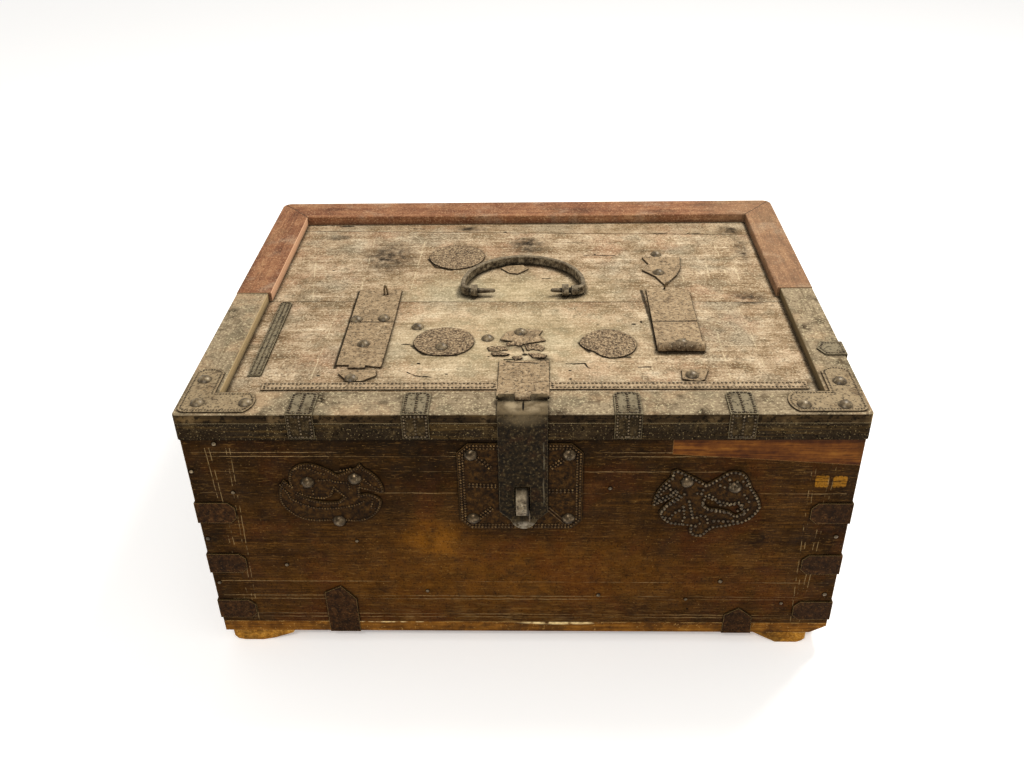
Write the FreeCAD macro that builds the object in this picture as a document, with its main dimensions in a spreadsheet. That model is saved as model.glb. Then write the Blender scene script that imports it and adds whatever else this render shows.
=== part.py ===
import FreeCAD
import Part
import math
import os
import Sketcher

# A low wooden chest. The body is a box of boards on a base board and two
# cross battens. The lid is three planks with raised rails round its edge,
# hinged at the back. A bail handle lies on the lid and a slotted hasp goes
# from the lid over a staple on the front. Straps, plates, bands and
# ornaments of sheet iron are nailed on.
# Millimetres. +X is to the right, +Y to the back, +Z up. The origin is on
# the floor, at the middle of the outer box.

sizes = {
    # The outer box
    "lid_width": 540,
    "lid_depth": 416,
    "lid_overhang": 2,
    "lid_gap": 0.3,
    "front_corner_radius": 4,
    "back_corner_radius": 9,
    # Body boards
    "wall_height": 201,
    "wall_thickness": 16,
    "rebate_depth": 5,
    "base_thickness": 13.5,
    "base_chamfer": 2,
    "base_chip_length": 17,
    "base_chip_height": 10,
    "base_chip_depth": 40,
    # Foot battens
    "foot_height": 12.5,
    "foot_inset": 2,
    "left_foot_width": 56,
    "right_foot_width": 47,
    "left_foot_side_gap": 6,
    "right_foot_side_gap": 16,
    # Repair strip let into the front board
    "repair_left_height": 15,
    "repair_right_height": 26,
    "repair_depth": 6,
    # Lid planks
    "plank_thickness": 15.5,
    "plank_gap": 0.6,
    # Lid rails
    "rail_thickness": 8.5,
    "new_rail_thickness": 9.3,
    "front_rail_width": 33,
    "old_side_rail_width": 30,
    "new_side_rail_width": 33,
    "back_rail_width": 38,
    "rail_edge_radius": 1.4,
    # Back hinges
    "hinge_width": 60,
    "hinge_thickness": 1.8,
    "hinge_case_height": 30,
    "hinge_lid_height": 19,
    "hinge_barrel_radius": 4.2,
    "hinge_pin_radius": 2.2,
    "hinge_pin_head": 3.4,
    "hinge_pin_head_height": 2,
    "hinge_pin_clearance": 0.08,
    "hinge_knuckle_gap": 0.3,
    "nail_head_radius": 3,
    "nail_head_height": 1.2,
    # Sheet iron
    "sheet_thickness": 1.2,
    "band_thickness": 1.6,
    # Domed studs
    "stud_radius": 5.6,
    "stud_height": 3.6,
    # Lock plate and staple
    "lock_plate_width": 100,
    "lock_plate_height": 87,
    "lock_plate_drop": 4,
    "lock_plate_chamfer": 9,
    "lock_stud_inset": 11,
    "staple_place": 1.5,
    "staple_drop": 60,
    "staple_height": 24,
    "staple_width": 10,
    "staple_thickness": 3,
    "staple_reach": 15,
    "staple_hole_clearance": 0.2,
    "staple_clench": 9,
    # Hasp
    "hasp_place": 2.5,
    "hasp_width": 39,
    "hasp_thickness": 1.8,
    "hasp_back": 19,
    "hasp_drop": 103,
    "hasp_bend_radius": 3.2,
    "hasp_corner": 8,
    "hasp_slot_width": 13,
    "hasp_slot_height": 31,
    "hasp_slot_drop": 69,
    "hasp_lip_radius": 11.5,
    "hasp_lip_angle": 40,
    "knuckle_radius": 3.2,
    "hasp_pin_radius": 1.5,
    "hasp_pin_clearance": 0.08,
    "hasp_pin_overrun": 1.2,
    "hasp_middle_knuckle": 12,
    "seat_gap": 0.3,
    "leaf_width": 42,
    "leaf_reach": 58,
    # Bail handle and its eyes
    "bail_radius": 57,
    "bail_rise": 11,
    "bail_elbow": 6,
    "bail_strip_thickness": 4,
    "bail_strip_height": 9,
    "bail_pin_radius": 2.7,
    "bail_pin_tip_radius": 1.9,
    "bail_pin_inner_end": 26,
    "bail_place_depth": 2,
    "bail_edge_bevel": 0.8,
    "eye_outer_radius": 5.8,
    "eye_clearance": 0.3,
    "eye_width": 6,
    "eye_left_place": 46,
    "eye_right_place": 40,
    "eye_shank": 4,
    "eye_clench": 11,
    "eye_clench_thickness": 2,
    # Edge straps over the front edge of the lid
    "edge_strap_width": 21,
    "edge_strap_reach": 30,
    "edge_strap_drop": 22,
    # Corner plates on the lid
    "corner_plate_length": 56,
    "corner_plate_depth": 60,
    "corner_plate_inset": 3,
    # Side strap on the right rail
    "side_strap_width": 21,
    "side_strap_reach": 22,
    "side_strap_drop": 18,
    # Corner straps round the corners of the body
    "corner_strap_height": 21,
    "corner_strap_front": 32,
    "corner_strap_side": 30,
    # Bottom straps
    "left_bottom_strap_width": 27,
    "left_bottom_strap_height": 55,
    "right_bottom_strap_width": 26,
    "right_bottom_strap_height": 30,
    # Ornaments on the front
    "left_ornament_width": 86,
    "left_ornament_height": 60,
    "right_ornament_width": 88,
    "right_ornament_height": 69,
    # Strips on the panel
    "border_width": 10.5,
    "left_strip_width": 11,
    "left_strip_gap": 12,
    # Remains of the two long bands
    "band_width": 40,
    "left_tip_gap": 4,
    "left_tip_width": 32,
    "right_roll_radius": 4.3,
    "right_roll_bore": 2.6,
    "right_tail_width": 23,
    # Roundels
    "rear_left_roundel_radius": 28,
    "front_left_roundel_radius": 26.5,
    "front_right_roundel_radius": 24.5,
    # Small tin remnants
    "handle_remnant_width": 27,
    "handle_remnant_depth": 19,
    "handle_remnant_x": -9,
    "handle_remnant_reach": 54,
    "middle_remnant_width": 40,
    "middle_remnant_depth": 26,
}

# Places on the lid: shares of half its width to the right and of half its
# depth to the back. Lengths with a share are shares of the lid's depth.
rear_seam_shares = (0.745, 0.649)
front_seam_shares = (-0.034, -0.063)
rail_joint_shares = (-0.029, -0.005)
hinge_share = 0.611
edge_strap_shares = [-0.630, -0.298, 0.311, 0.635]
side_strap_share = -0.538
bottom_strap_shares = (-0.589, 0.700)
border_end_shares = (-0.785, 0.859)
border_rear_share = -0.723
left_band_share = -0.504
right_band_share = 0.507
tail_share = 0.533
left_band_rear_share = 0.0625
right_band_rear_share = 0.058
remnant_rear_share = 0.394
tail_rear_share = -0.635
upper_length_share = 0.1515
left_lower_length_share = 0.1875
right_lower_length_share = 0.118
tip_length_share = 0.041
remnant_length_share = 0.149
tail_length_share = 0.043
left_strip_length_share = 0.32
rear_left_roundel_share = (-0.252, 0.413)
front_left_roundel_share = (-0.252, -0.413)
front_right_roundel_share = (0.278, -0.428)
middle_remnant_share = (0.004, -0.365)

# Places on the front: shares of half the lid's width to the right, and of
# the front board's height down from its top
left_ornament_share = (-0.570, 0.264)
right_ornament_share = (0.559, 0.318)
corner_strap_shares = [0.373, 0.652, 0.920]
repair_share = 0.276

# Studs on the lid
band_stud_shares = [
    (-0.559, -0.219),
    (-0.467, -0.209),
    (-0.511, -0.430),
    (-0.519, -0.697),
    (0.489, 0.221),
    (0.515, -0.428),
    (0.522, -0.680),
]
sheet_stud_shares = [
    (-0.256, -0.452),
    (-0.004, -0.332),
]
bare_stud_shares = [
    (0.496, 0.433),
    (-0.348, -0.274),
    (-0.111, -0.375),
]
corner_stud_shares = [
    (-0.950, -0.765),
    (-0.937, -0.928),
    (-0.796, -0.928),
    (0.941, -0.788),
    (0.926, -0.947),
    (0.811, -0.947),
]

# Outlines, as shares of their width and height, with bulges
left_ornament_shares = [
    (0.065, 0.72, 0.15),
    (0.0, 0.36, 0.32),
    (0.29, 0.0, 0.06),
    (0.50, 0.015),
    (0.64, 0.0, 0.45),
    (0.97, 0.36, 0.40),
    (0.775, 0.465),
    (0.775, 0.575),
    (0.99, 0.485),
    (1.0, 0.52, 0.28),
    (0.84, 0.91),
    (0.80, 1.0),
    (0.765, 0.925),
    (0.675, 0.87),
    (0.58, 0.80, 0.12),
    (0.37, 0.98, 0.12),
    (0.24, 0.98, 0.35),
    (0.12, 0.655, 0.10),
    (0.135, 0.56),
    (0.10, 0.67),
]
left_ornament_hole_shares = [
    (0.16, 0.51, 0.22),
    (0.555, 0.345),
    (0.615, 0.425),
    (0.535, 0.56),
    (0.50, 0.44),
    (0.43, 0.39, -0.18),
]
right_ornament_shares = [
    (0.0, 0.46, 0.06),
    (0.25, 0.65, 0.10),
    (0.065, 0.37, 0.35),
    (0.23, 0.17),
    (0.36, 0.15),
    (0.36, 0.07, 0.75),
    (0.53, 0.06),
    (0.58, 0.12, 0.05),
    (0.85, 0.20, 0.20),
    (1.0, 0.445, 0.12),
    (0.90, 0.715, 0.05),
    (0.835, 0.90, 0.50),
    (0.615, 0.915),
    (0.48, 0.785, 0.05),
    (0.20, 1.0),
    (0.15, 0.97),
    (0.155, 0.89, 0.22),
]
right_ornament_hole_shares = [
    (0.47, 0.49),
    (0.52, 0.43, -0.08),
    (0.715, 0.38),
    (0.777, 0.32),
    (0.84, 0.37),
    (0.78, 0.50),
    (0.72, 0.475, -0.10),
    (0.49, 0.585),
]
remnant_shares = [
    (0.47, 0.0),
    (0.80, 0.34),
    (0.93, 0.57),
    (1.0, 1.0),
    (0.72, 0.96),
    (0.40, 1.0),
    (0.05, 0.98),
    (0.18, 0.74),
    (0.0, 0.52),
    (0.28, 0.31),
]
left_lower_shares = [
    (0.0, 0.06),
    (0.27, 0.06),
    (0.27, 0.0),
    (0.62, 0.0),
    (0.62, 0.05),
    (0.96, 0.01),
    (1.0, 1.0),
    (0.0, 1.0),
]
left_tip_shares = [
    (0.0, 0.72),
    (0.27, 0.08),
    (0.64, 0.0),
    (1.0, 0.52),
    (0.96, 1.0),
    (0.05, 1.0),
]
right_upper_shares = [
    (0.0, 0.0),
    (1.0, 0.02),
    (1.0, 0.86, 0.41),
    (0.80, 0.98),
    (0.0, 1.0),
]
tail_shares = [
    (0.0, 0.2),
    (0.28, 0.06),
    (0.60, 0.0),
    (0.78, 0.12),
    (1.0, 1.0),
    (0.05, 1.0),
]
handle_remnant_shares = [
    (0.0, 0.66),
    (0.30, 0.12),
    (0.62, 0.0),
    (1.0, 0.55),
    (0.80, 1.0),
    (0.22, 0.92),
]
middle_remnant_shares = [
    (0.0, 0.30),
    (0.34, 0.16),
    (0.52, 0.0),
    (1.0, 0.22),
    (0.84, 0.55),
    (0.93, 0.90),
    (0.50, 1.0),
    (0.14, 0.80),
]
left_foot_shares = [
    (0.0, 1.0),
    (0.0, 0.45),
    (0.05, 0.12),
    (0.16, 0.0),
    (0.45, 0.0),
    (0.66, 0.22),
    (0.96, 0.72),
    (1.0, 1.0),
]
right_foot_shares = [
    (0.0, 1.0),
    (0.22, 0.50),
    (0.45, 0.0),
    (0.84, 0.0, 0.20),
    (1.0, 0.40),
    (1.0, 1.0),
]
rear_left_rim_shares = [1.0, 0.97, 1.0, 0.98, 1.0, 0.96, 0.99, 0.97]
front_left_rim_shares = [1.0, 1.0, 0.98, 1.0, 1.0, 0.90, 0.80, 0.92]
front_right_rim_shares = [1.0, 0.98, 1.0, 0.97, 1.0, 0.72, 0.94, 1.0]

document = FreeCAD.newDocument("chest")
sheet = document.addObject("Spreadsheet::Sheet", "Sizes")
for row, (word, value) in enumerate(sizes.items(), start=1):
    sheet.set(f"A{row}", word)
    sheet.set(f"B{row}", str(value))
    sheet.setAlias(f"B{row}", word)
document.recompute()


class Length:
    """A size in millimetres, with the cell formula that gives it."""

    def __init__(self, value, text):
        self.value = float(value)
        self.text = text

    def __add__(self, other):
        other = as_length(other)
        return Length(self.value + other.value, f"({self.text} + {other.text})")

    def __sub__(self, other):
        other = as_length(other)
        return Length(self.value - other.value, f"({self.text} - {other.text})")

    def __mul__(self, other):
        other = as_length(other)
        return Length(self.value * other.value, f"({self.text} * {other.text})")

    def __truediv__(self, other):
        other = as_length(other)
        return Length(self.value / other.value, f"({self.text} / {other.text})")

    def __neg__(self):
        return Length(-self.value, f"(-1 * {self.text})")

    __radd__ = __add__
    __rmul__ = __mul__


def as_length(number):
    """Plain factors and zero may stand beside sizes."""
    if isinstance(number, Length):
        return number
    return Length(number, f"({number!r})")


def root(length):
    return Length(math.sqrt(length.value), f"sqrt({length.text})")


class Sizes:
    """Every cell of the sheet, by its name."""


size = Sizes()
for word, value in sizes.items():
    setattr(size, word, Length(value, f"Sizes.{word}"))

zero = as_length(0)
half = 0.5

# Faces and levels that several pieces share
front_back_shift = (size.staple_reach - size.lid_overhang - 2 * size.hinge_barrel_radius) / 2
lid_left = -size.lid_width / 2
lid_right = size.lid_width / 2
lid_front = front_back_shift - size.lid_depth / 2
lid_back = front_back_shift + size.lid_depth / 2
case_left = lid_left + size.lid_overhang
case_right = lid_right - size.lid_overhang
case_front = lid_front + size.lid_overhang
case_back = lid_back
case_width = case_right - case_left
case_depth = case_back - case_front
base_bottom = size.foot_height
wall_bottom = base_bottom + size.base_thickness
split_level = wall_bottom + size.wall_height
lid_bottom = split_level + size.lid_gap
panel_level = lid_bottom + size.plank_thickness
rail_level = panel_level + size.rail_thickness
inner_front = lid_front + size.front_rail_width
left_rail_inner = lid_left + size.old_side_rail_width
right_rail_inner = lid_right - size.old_side_rail_width
front_sheet_face = case_front - size.sheet_thickness

finished = []


def across(share):
    """A place from left to right, as a share of half the lid's width."""
    return lid_right * share


def along(share):
    """A place from front to back, as a share of half the lid's depth."""
    return front_back_shift + size.lid_depth * half * share


def bind(item, name, length):
    """Ties one property of an object to the sheet."""
    item.setExpression(name, as_length(length).text)


def place(item, x=zero, y=zero, z=zero):
    """Ties an object's position to the sheet."""
    bind(item, "Placement.Base.x", x)
    bind(item, "Placement.Base.y", y)
    bind(item, "Placement.Base.z", z)


def finish(item, label):
    """Gives a sub-part its name and keeps it for the files."""
    item.Label = label
    finished.append(item)
    return item


def new_body(label):
    return document.addObject("PartDesign::Body", label + "_body")


def origin_plane(body, role):
    return [item for item in body.Origin.OriginFeatures if item.Role == role][0]


def new_sketch(body, role, lift=zero):
    """A sketch on one of the body's own planes, lifted along its normal."""
    sketch = body.newObject("Sketcher::SketchObject", "outline")
    sketch.AttachmentSupport = [(origin_plane(body, role), "")]
    sketch.MapMode = "FlatFace"
    if lift is not zero:
        bind(sketch, "AttachmentOffset.Base.z", lift)
    return sketch


def tie(sketch, constraint, length):
    """Adds one dimension to a sketch and ties it to the sheet."""
    number = sketch.addConstraint(constraint)
    sketch.setExpression(f"Constraints[{number}]", length.text)


def arc_between(start, end, bulge):
    """The arc from start to end whose rise is bulge times half its chord."""
    a = FreeCAD.Vector(start[0].value, start[1].value, 0)
    b = FreeCAD.Vector(end[0].value, end[1].value, 0)
    chord = b - a
    middle = (a + b) * half + FreeCAD.Vector(chord.y, -chord.x, 0) * half * bulge
    return Part.Arc(a, middle, b)


def bulge_of(start, end, bend):
    """A bend is a bulge share, or a radius whose sign says which way."""
    if not isinstance(bend, Length):
        return bend
    chord = math.hypot(end[0].value - start[0].value, end[1].value - start[1].value)
    turn = math.asin(min(1, chord / 2 / abs(bend.value)))
    return math.copysign(math.tan(turn / 2), bend.value)


def draw(sketch, points):
    """Closes an outline through points of (x, y) or (x, y, bend).

    A bend curves the edge that leaves its point: outwards on an outline
    that runs anticlockwise where it is positive, inwards where it is not.
    """
    corners = [(as_length(p[0]), as_length(p[1])) for p in points]
    bends = [p[2] if len(p) > 2 else 0 for p in points]
    first = sketch.GeometryCount
    count = len(points)
    tails = []
    heads = []
    for index, bend in enumerate(bends):
        start = corners[index]
        end = corners[(index + 1) % count]
        bulge = bulge_of(start, end, bend)
        if bulge:
            sketch.addGeometry(arc_between(start, end, bulge), False)
        else:
            a = FreeCAD.Vector(start[0].value, start[1].value, 0)
            b = FreeCAD.Vector(end[0].value, end[1].value, 0)
            sketch.addGeometry(Part.LineSegment(a, b), False)
        tails.append(2 if bulge < 0 else 1)
        heads.append(1 if bulge < 0 else 2)
    for index in range(count):
        after = (index + 1) % count
        join = Sketcher.Constraint(
            "Coincident", first + index, heads[index], first + after, tails[after]
        )
        sketch.addConstraint(join)
    for index, (x, y) in enumerate(corners):
        edge = first + index
        tie(sketch, Sketcher.Constraint("DistanceX", edge, tails[index], x.value), x)
        tie(sketch, Sketcher.Constraint("DistanceY", edge, tails[index], y.value), y)
    for index, bend in enumerate(bends):
        if isinstance(bend, Length) or bend:
            radius = arc_radius(corners[index], corners[(index + 1) % count], bend)
            tie(sketch, Sketcher.Constraint("Radius", first + index, radius.value), radius)


def arc_radius(start, end, bend):
    if isinstance(bend, Length):
        return bend if bend.value > 0 else -bend
    across = end[0] - start[0]
    along = end[1] - start[1]
    factor = (1 + bend * bend) / (4 * abs(bend))
    return root(across * across + along * along) * factor


def draw_circle(sketch, x, y, radius):
    """A circle at a place."""
    x = as_length(x)
    y = as_length(y)
    middle = FreeCAD.Vector(x.value, y.value, 0)
    number = sketch.addGeometry(Part.Circle(middle, FreeCAD.Vector(0, 0, 1), radius.value), False)
    tie(sketch, Sketcher.Constraint("DistanceX", number, 3, x.value), x)
    tie(sketch, Sketcher.Constraint("DistanceY", number, 3, y.value), y)
    tie(sketch, Sketcher.Constraint("Radius", number, radius.value), radius)


def pad(body, sketch, thickness, centred=False):
    """Gives an outline its thickness."""
    feature = body.newObject("PartDesign::Pad", "pad")
    feature.Profile = sketch
    feature.SideType = "Symmetric" if centred else "One side"
    bind(feature, "Length", thickness)
    sketch.Visibility = False
    return feature


def pocket(body, sketch, depth, along_normal=False):
    """Cuts an outline into the body, against its normal or along it."""
    feature = body.newObject("PartDesign::Pocket", "pocket")
    feature.Profile = sketch
    feature.Reversed = along_normal
    bind(feature, "Length", depth)
    return feature


def mirrored(points):
    """The same outline on the other side of the middle."""
    count = len(points)
    bends = [p[2] if len(p) > 2 else 0 for p in points]
    back = range(count - 1, -1, -1)
    return [(-points[i][0], points[i][1], bends[(i - 1) % count]) for i in back]


def box_outline(left, low, right, high):
    return [(left, low), (right, low), (right, high), (left, high)]


def scaled(shares, width, height):
    """An outline given as shares of its width and height."""
    return [(width * p[0], height * p[1], *p[2:]) for p in shares]


def edges_where(shape, test):
    """Names of a shape's edges that pass a test of their middle and ends."""
    names = []
    for number, edge in enumerate(shape.Edges, start=1):
        middle = edge.valueAt((edge.FirstParameter + edge.LastParameter) / 2)
        if test(middle, edge):
            names.append(f"Edge{number}")
    return names


def soften(body, kind, test, amount):
    """Rounds or bevels the edges of the body's last feature that pass a test."""
    document.recompute()
    last = body.Tip
    names = edges_where(last.Shape, test)
    feature = body.newObject("PartDesign::" + kind, kind.lower())
    feature.Base = (last, names)
    bind(feature, "Radius" if kind == "Fillet" else "Size", amount)
    return feature


def same(one, other):
    """Whether two coordinates meet."""
    return abs(one - other) < size.lid_gap.value / 10


def plate(label, role, points, thickness, x=zero, y=zero, z=zero, holes=()):
    """A flat piece: an outline with holes, and a thickness."""
    body = new_body(label)
    sketch = new_sketch(body, role)
    draw(sketch, points)
    for hole in holes:
        if len(hole) == 3 and isinstance(hole[2], Length):
            draw_circle(sketch, *hole)
        else:
            draw(sketch, hole)
    pad(body, sketch, thickness)
    place(body, x, y, z)
    return body


def group(label, items):
    """Like pieces that share one node."""
    compound = document.addObject("Part::Compound", label + "_group")
    compound.Links = items
    return finish(compound, label)


quarter_turn_bulge = math.tan(math.pi / 8)
eighth_turn_bulge = math.tan(math.pi / 16)
diagonal_share = 1 - math.sqrt(half)


# Body of the chest: front and back boards, with a rebate at each end for
# the side boards, and slots for the legs of the staple

staple_level = size.wall_height - size.staple_drop
staple_half = size.staple_height * half
slot_half_width = size.staple_width * half + size.staple_hole_clearance


def staple_slots(level):
    """Outlines of the two slots for the staple's legs, round a level."""
    left = size.staple_place - slot_half_width
    right = size.staple_place + slot_half_width
    near = staple_half - size.staple_thickness - size.staple_hole_clearance
    far = staple_half + size.staple_hole_clearance
    lower = box_outline(left, level - far, right, level - near)
    upper = box_outline(left, level + near, right, level + far)
    return [lower, upper]


repair_start = case_right - case_width * repair_share
repair_outline = [
    (repair_start, size.wall_height - size.repair_left_height),
    (case_right, size.wall_height - size.repair_right_height),
    (case_right, size.wall_height),
    (repair_start, size.wall_height),
]
end_rebates = [
    box_outline(case_left, zero, case_left + size.wall_thickness, size.wall_height),
    box_outline(case_right - size.wall_thickness, zero, case_right, size.wall_height),
]


def front_board():
    body = new_body("front_board")
    outline = new_sketch(body, "XZ_Plane")
    draw(outline, box_outline(case_left, zero, case_right, size.wall_height))
    pad(body, outline, size.wall_thickness)
    rebates = new_sketch(body, "XZ_Plane")
    for end in end_rebates:
        draw(rebates, end)
    pocket(body, rebates, size.rebate_depth, along_normal=True)
    repair = new_sketch(body, "XZ_Plane", size.wall_thickness)
    draw(repair, repair_outline)
    pocket(body, repair, size.repair_depth)
    slots = new_sketch(body, "XZ_Plane", size.wall_thickness)
    for slot in staple_slots(staple_level):
        draw(slots, slot)
    pocket(body, slots, size.wall_thickness)
    place(body, y=case_front + size.wall_thickness, z=wall_bottom)
    finish(body, "front_board")


def back_board():
    body = new_body("back_board")
    outline = new_sketch(body, "XZ_Plane")
    draw(outline, box_outline(case_left, zero, case_right, size.wall_height))
    pad(body, outline, size.wall_thickness)
    rebates = new_sketch(body, "XZ_Plane", size.wall_thickness)
    for end in end_rebates:
        draw(rebates, end)
    pocket(body, rebates, size.rebate_depth)
    place(body, y=case_back, z=wall_bottom)
    finish(body, "back_board")


front_board()
back_board()
repair_strip = plate(
    "front_repair_strip",
    "XZ_Plane",
    repair_outline,
    size.repair_depth,
    y=case_front + size.repair_depth,
    z=wall_bottom,
)
finish(repair_strip, "front_repair_strip")

side_start = case_front + size.wall_thickness - size.rebate_depth
side_end = case_back - size.wall_thickness + size.rebate_depth
side_outline = box_outline(side_start, zero, side_end, size.wall_height)
side_places = [
    ("left_side_board", case_left),
    ("right_side_board", case_right - size.wall_thickness),
]
for label, x in side_places:
    side = plate(label, "YZ_Plane", side_outline, size.wall_thickness, x=x, z=wall_bottom)
    finish(side, label)


def base_board():
    """The base lies under all four walls; its right front corner is broken."""
    outline = box_outline(case_left, case_front, case_right, case_back)
    body = plate("base_board", "XY_Plane", outline, size.base_thickness, z=base_bottom)
    soften(
        body,
        "Chamfer",
        lambda middle, edge: same(middle.z, 0) and same(middle.y, case_front.value),
        size.base_chamfer,
    )
    chip = new_sketch(body, "XZ_Plane", -case_front)
    chip_outline = [
        (case_right - size.base_chip_length, zero),
        (case_right, zero),
        (case_right, size.base_chip_height),
    ]
    draw(chip, chip_outline)
    pocket(body, chip, size.base_chip_depth)
    finish(body, "base_board")


base_board()

left_foot_x = case_left + size.left_foot_side_gap
right_foot_x = case_right - size.right_foot_side_gap - size.right_foot_width
foot_length = case_depth - 2 * size.foot_inset
feet = [
    ("left_foot", left_foot_shares, size.left_foot_width, left_foot_x),
    ("right_foot", right_foot_shares, size.right_foot_width, right_foot_x),
]
for label, shares, width, x in feet:
    outline = scaled(shares, width, size.foot_height)
    foot = plate(label, "XZ_Plane", outline, foot_length, x=x, y=case_back - size.foot_inset)
    finish(foot, label)


# Lid: three planks side by side, with seams that run slightly aslant


gap_half = size.plank_gap * half
rear_left, rear_right = [along(share) for share in rear_seam_shares]
middle_left, middle_right = [along(share) for share in front_seam_shares]
back_round = size.back_corner_radius
front_round = size.front_corner_radius

rear_plank_outline = [
    (lid_left, rear_left + gap_half),
    (lid_right, rear_right + gap_half),
    (lid_right, lid_back - back_round, quarter_turn_bulge),
    (lid_right - back_round, lid_back),
    (lid_left + back_round, lid_back, quarter_turn_bulge),
    (lid_left, lid_back - back_round),
]
middle_plank_outline = [
    (lid_left, middle_left + gap_half),
    (lid_right, middle_right + gap_half),
    (lid_right, rear_right - gap_half),
    (lid_left, rear_left - gap_half),
]
front_plank_outline = [
    (lid_left + front_round, lid_front),
    (lid_right - front_round, lid_front, quarter_turn_bulge),
    (lid_right, lid_front + front_round),
    (lid_right, middle_right - gap_half),
    (lid_left, middle_left - gap_half),
    (lid_left, lid_front + front_round, quarter_turn_bulge),
]

bail_y = front_back_shift + size.bail_place_depth
eye_places = [-size.eye_left_place, size.eye_right_place]
shank_half = size.eye_shank * half
eye_slots = []
for x in eye_places:
    slot_x = size.eye_width * half + size.eye_clearance
    slot_y = shank_half + size.eye_clearance
    eye_slots.append(box_outline(x - slot_x, bail_y - slot_y, x + slot_x, bail_y + slot_y))

planks = [
    ("rear_plank", rear_plank_outline, []),
    ("middle_plank", middle_plank_outline, eye_slots),
    ("front_plank", front_plank_outline, []),
]
for label, outline, holes in planks:
    plank = plate(
        label, "XY_Plane", outline, size.plank_thickness, z=lid_bottom, holes=holes
    )
    finish(plank, label)


# Rails on the rim of the lid: old ones at the front, newer ones behind,
# mitred together at the back corners

left_joint, right_joint = [along(share) for share in rail_joint_shares]
new_left_inner = lid_left + size.new_side_rail_width
new_right_inner = lid_right - size.new_side_rail_width
back_inner = lid_back - size.back_rail_width
mitre_inset = back_round * diagonal_share

front_rail_outline = [
    (lid_left + front_round, lid_front),
    (lid_right - front_round, lid_front, quarter_turn_bulge),
    (lid_right, lid_front + front_round),
    (lid_right, inner_front),
    (lid_left, inner_front),
    (lid_left, lid_front + front_round, quarter_turn_bulge),
]
left_rear_rail_outline = [
    (lid_left, left_joint),
    (new_left_inner, left_joint),
    (new_left_inner, back_inner),
    (lid_left + mitre_inset, lid_back - mitre_inset, eighth_turn_bulge),
    (lid_left, lid_back - back_round),
]
right_rear_rail_outline = [
    (new_right_inner, right_joint),
    (lid_right, right_joint),
    (lid_right, lid_back - back_round, eighth_turn_bulge),
    (lid_right - mitre_inset, lid_back - mitre_inset),
    (new_right_inner, back_inner),
]
back_rail_outline = [
    (new_left_inner, back_inner),
    (new_right_inner, back_inner),
    (lid_right - mitre_inset, lid_back - mitre_inset, eighth_turn_bulge),
    (lid_right - back_round, lid_back),
    (lid_left + back_round, lid_back, eighth_turn_bulge),
    (lid_left + mitre_inset, lid_back - mitre_inset),
]
left_front_rail_outline = box_outline(lid_left, inner_front, left_rail_inner, left_joint)
right_front_rail_outline = box_outline(right_rail_inner, inner_front, lid_right, right_joint)


def rail(label, outline, thickness, across):
    """A rail with its long upper edges worn round."""
    body = plate(label, "XY_Plane", outline, thickness, z=panel_level)

    def long_upper_edge(middle, edge):
        run = edge.Vertexes[-1].Point - edge.Vertexes[0].Point
        straight = edge.Curve.TypeId == "Part::GeomLine"
        is_long = abs(run.x if across else run.y) > size.front_rail_width.value * 2
        return same(middle.z, thickness.value) and straight and is_long

    soften(body, "Fillet", long_upper_edge, size.rail_edge_radius)
    finish(body, label)


rail("front_rail", front_rail_outline, size.rail_thickness, True)
rail("left_front_rail", left_front_rail_outline, size.rail_thickness, False)
rail("right_front_rail", right_front_rail_outline, size.rail_thickness, False)
rail("left_rear_rail", left_rear_rail_outline, size.new_rail_thickness, False)
rail("right_rear_rail", right_rear_rail_outline, size.new_rail_thickness, False)
rail("back_rail", back_rail_outline, size.new_rail_thickness, True)


# Heads of studs and nails


# The ball whose cap is a stud, and the depth of its middle under the seat
stud_square = size.stud_radius * size.stud_radius
stud_ball = (stud_square + size.stud_height * size.stud_height) / (2 * size.stud_height)
stud_sunk = stud_ball - size.stud_height


def stud(x, y, z):
    """A domed stud that sits on a level face."""
    head = document.addObject("Part::Sphere", "stud")
    bind(head, "Radius", stud_ball)
    head.setExpression("Angle1", f"asin({stud_sunk.text} / {stud_ball.text})")
    place(head, x, y, z - stud_sunk)
    return head


def front_stud(x, z):
    """A domed stud that sits on the sheet iron of the front."""
    head = stud(x, front_sheet_face + stud_sunk, z + stud_sunk)
    head.Placement.Rotation = FreeCAD.Rotation(FreeCAD.Vector(1, 0, 0), 90)
    return head


def back_nail(x, z):
    """A flat-topped nail head on the back of a hinge leaf."""
    head = document.addObject("Part::Cone", "head")
    bind(head, "Radius1", size.nail_head_radius)
    bind(head, "Radius2", size.nail_head_radius * half)
    bind(head, "Height", size.nail_head_height)
    head.Placement.Rotation = FreeCAD.Rotation(FreeCAD.Vector(-1, 0, 0), 90)
    place(head, x, case_back + size.hinge_thickness, z)
    return head


# Back hinges: knuckled leaves on the back board and on the lid

hinge_axis_y = case_back + size.hinge_barrel_radius
hinge_axis_z = split_level + size.lid_gap * half
hinge_half = size.hinge_width * half
knuckle_half = size.hinge_width / 6
knuckle_gap_half = size.hinge_knuckle_gap * half
knuckle_clear = size.hinge_barrel_radius + size.hinge_knuckle_gap
hinge_bore = size.hinge_pin_radius + size.hinge_pin_clearance
end_knuckle = hinge_half - knuckle_half - knuckle_gap_half


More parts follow.
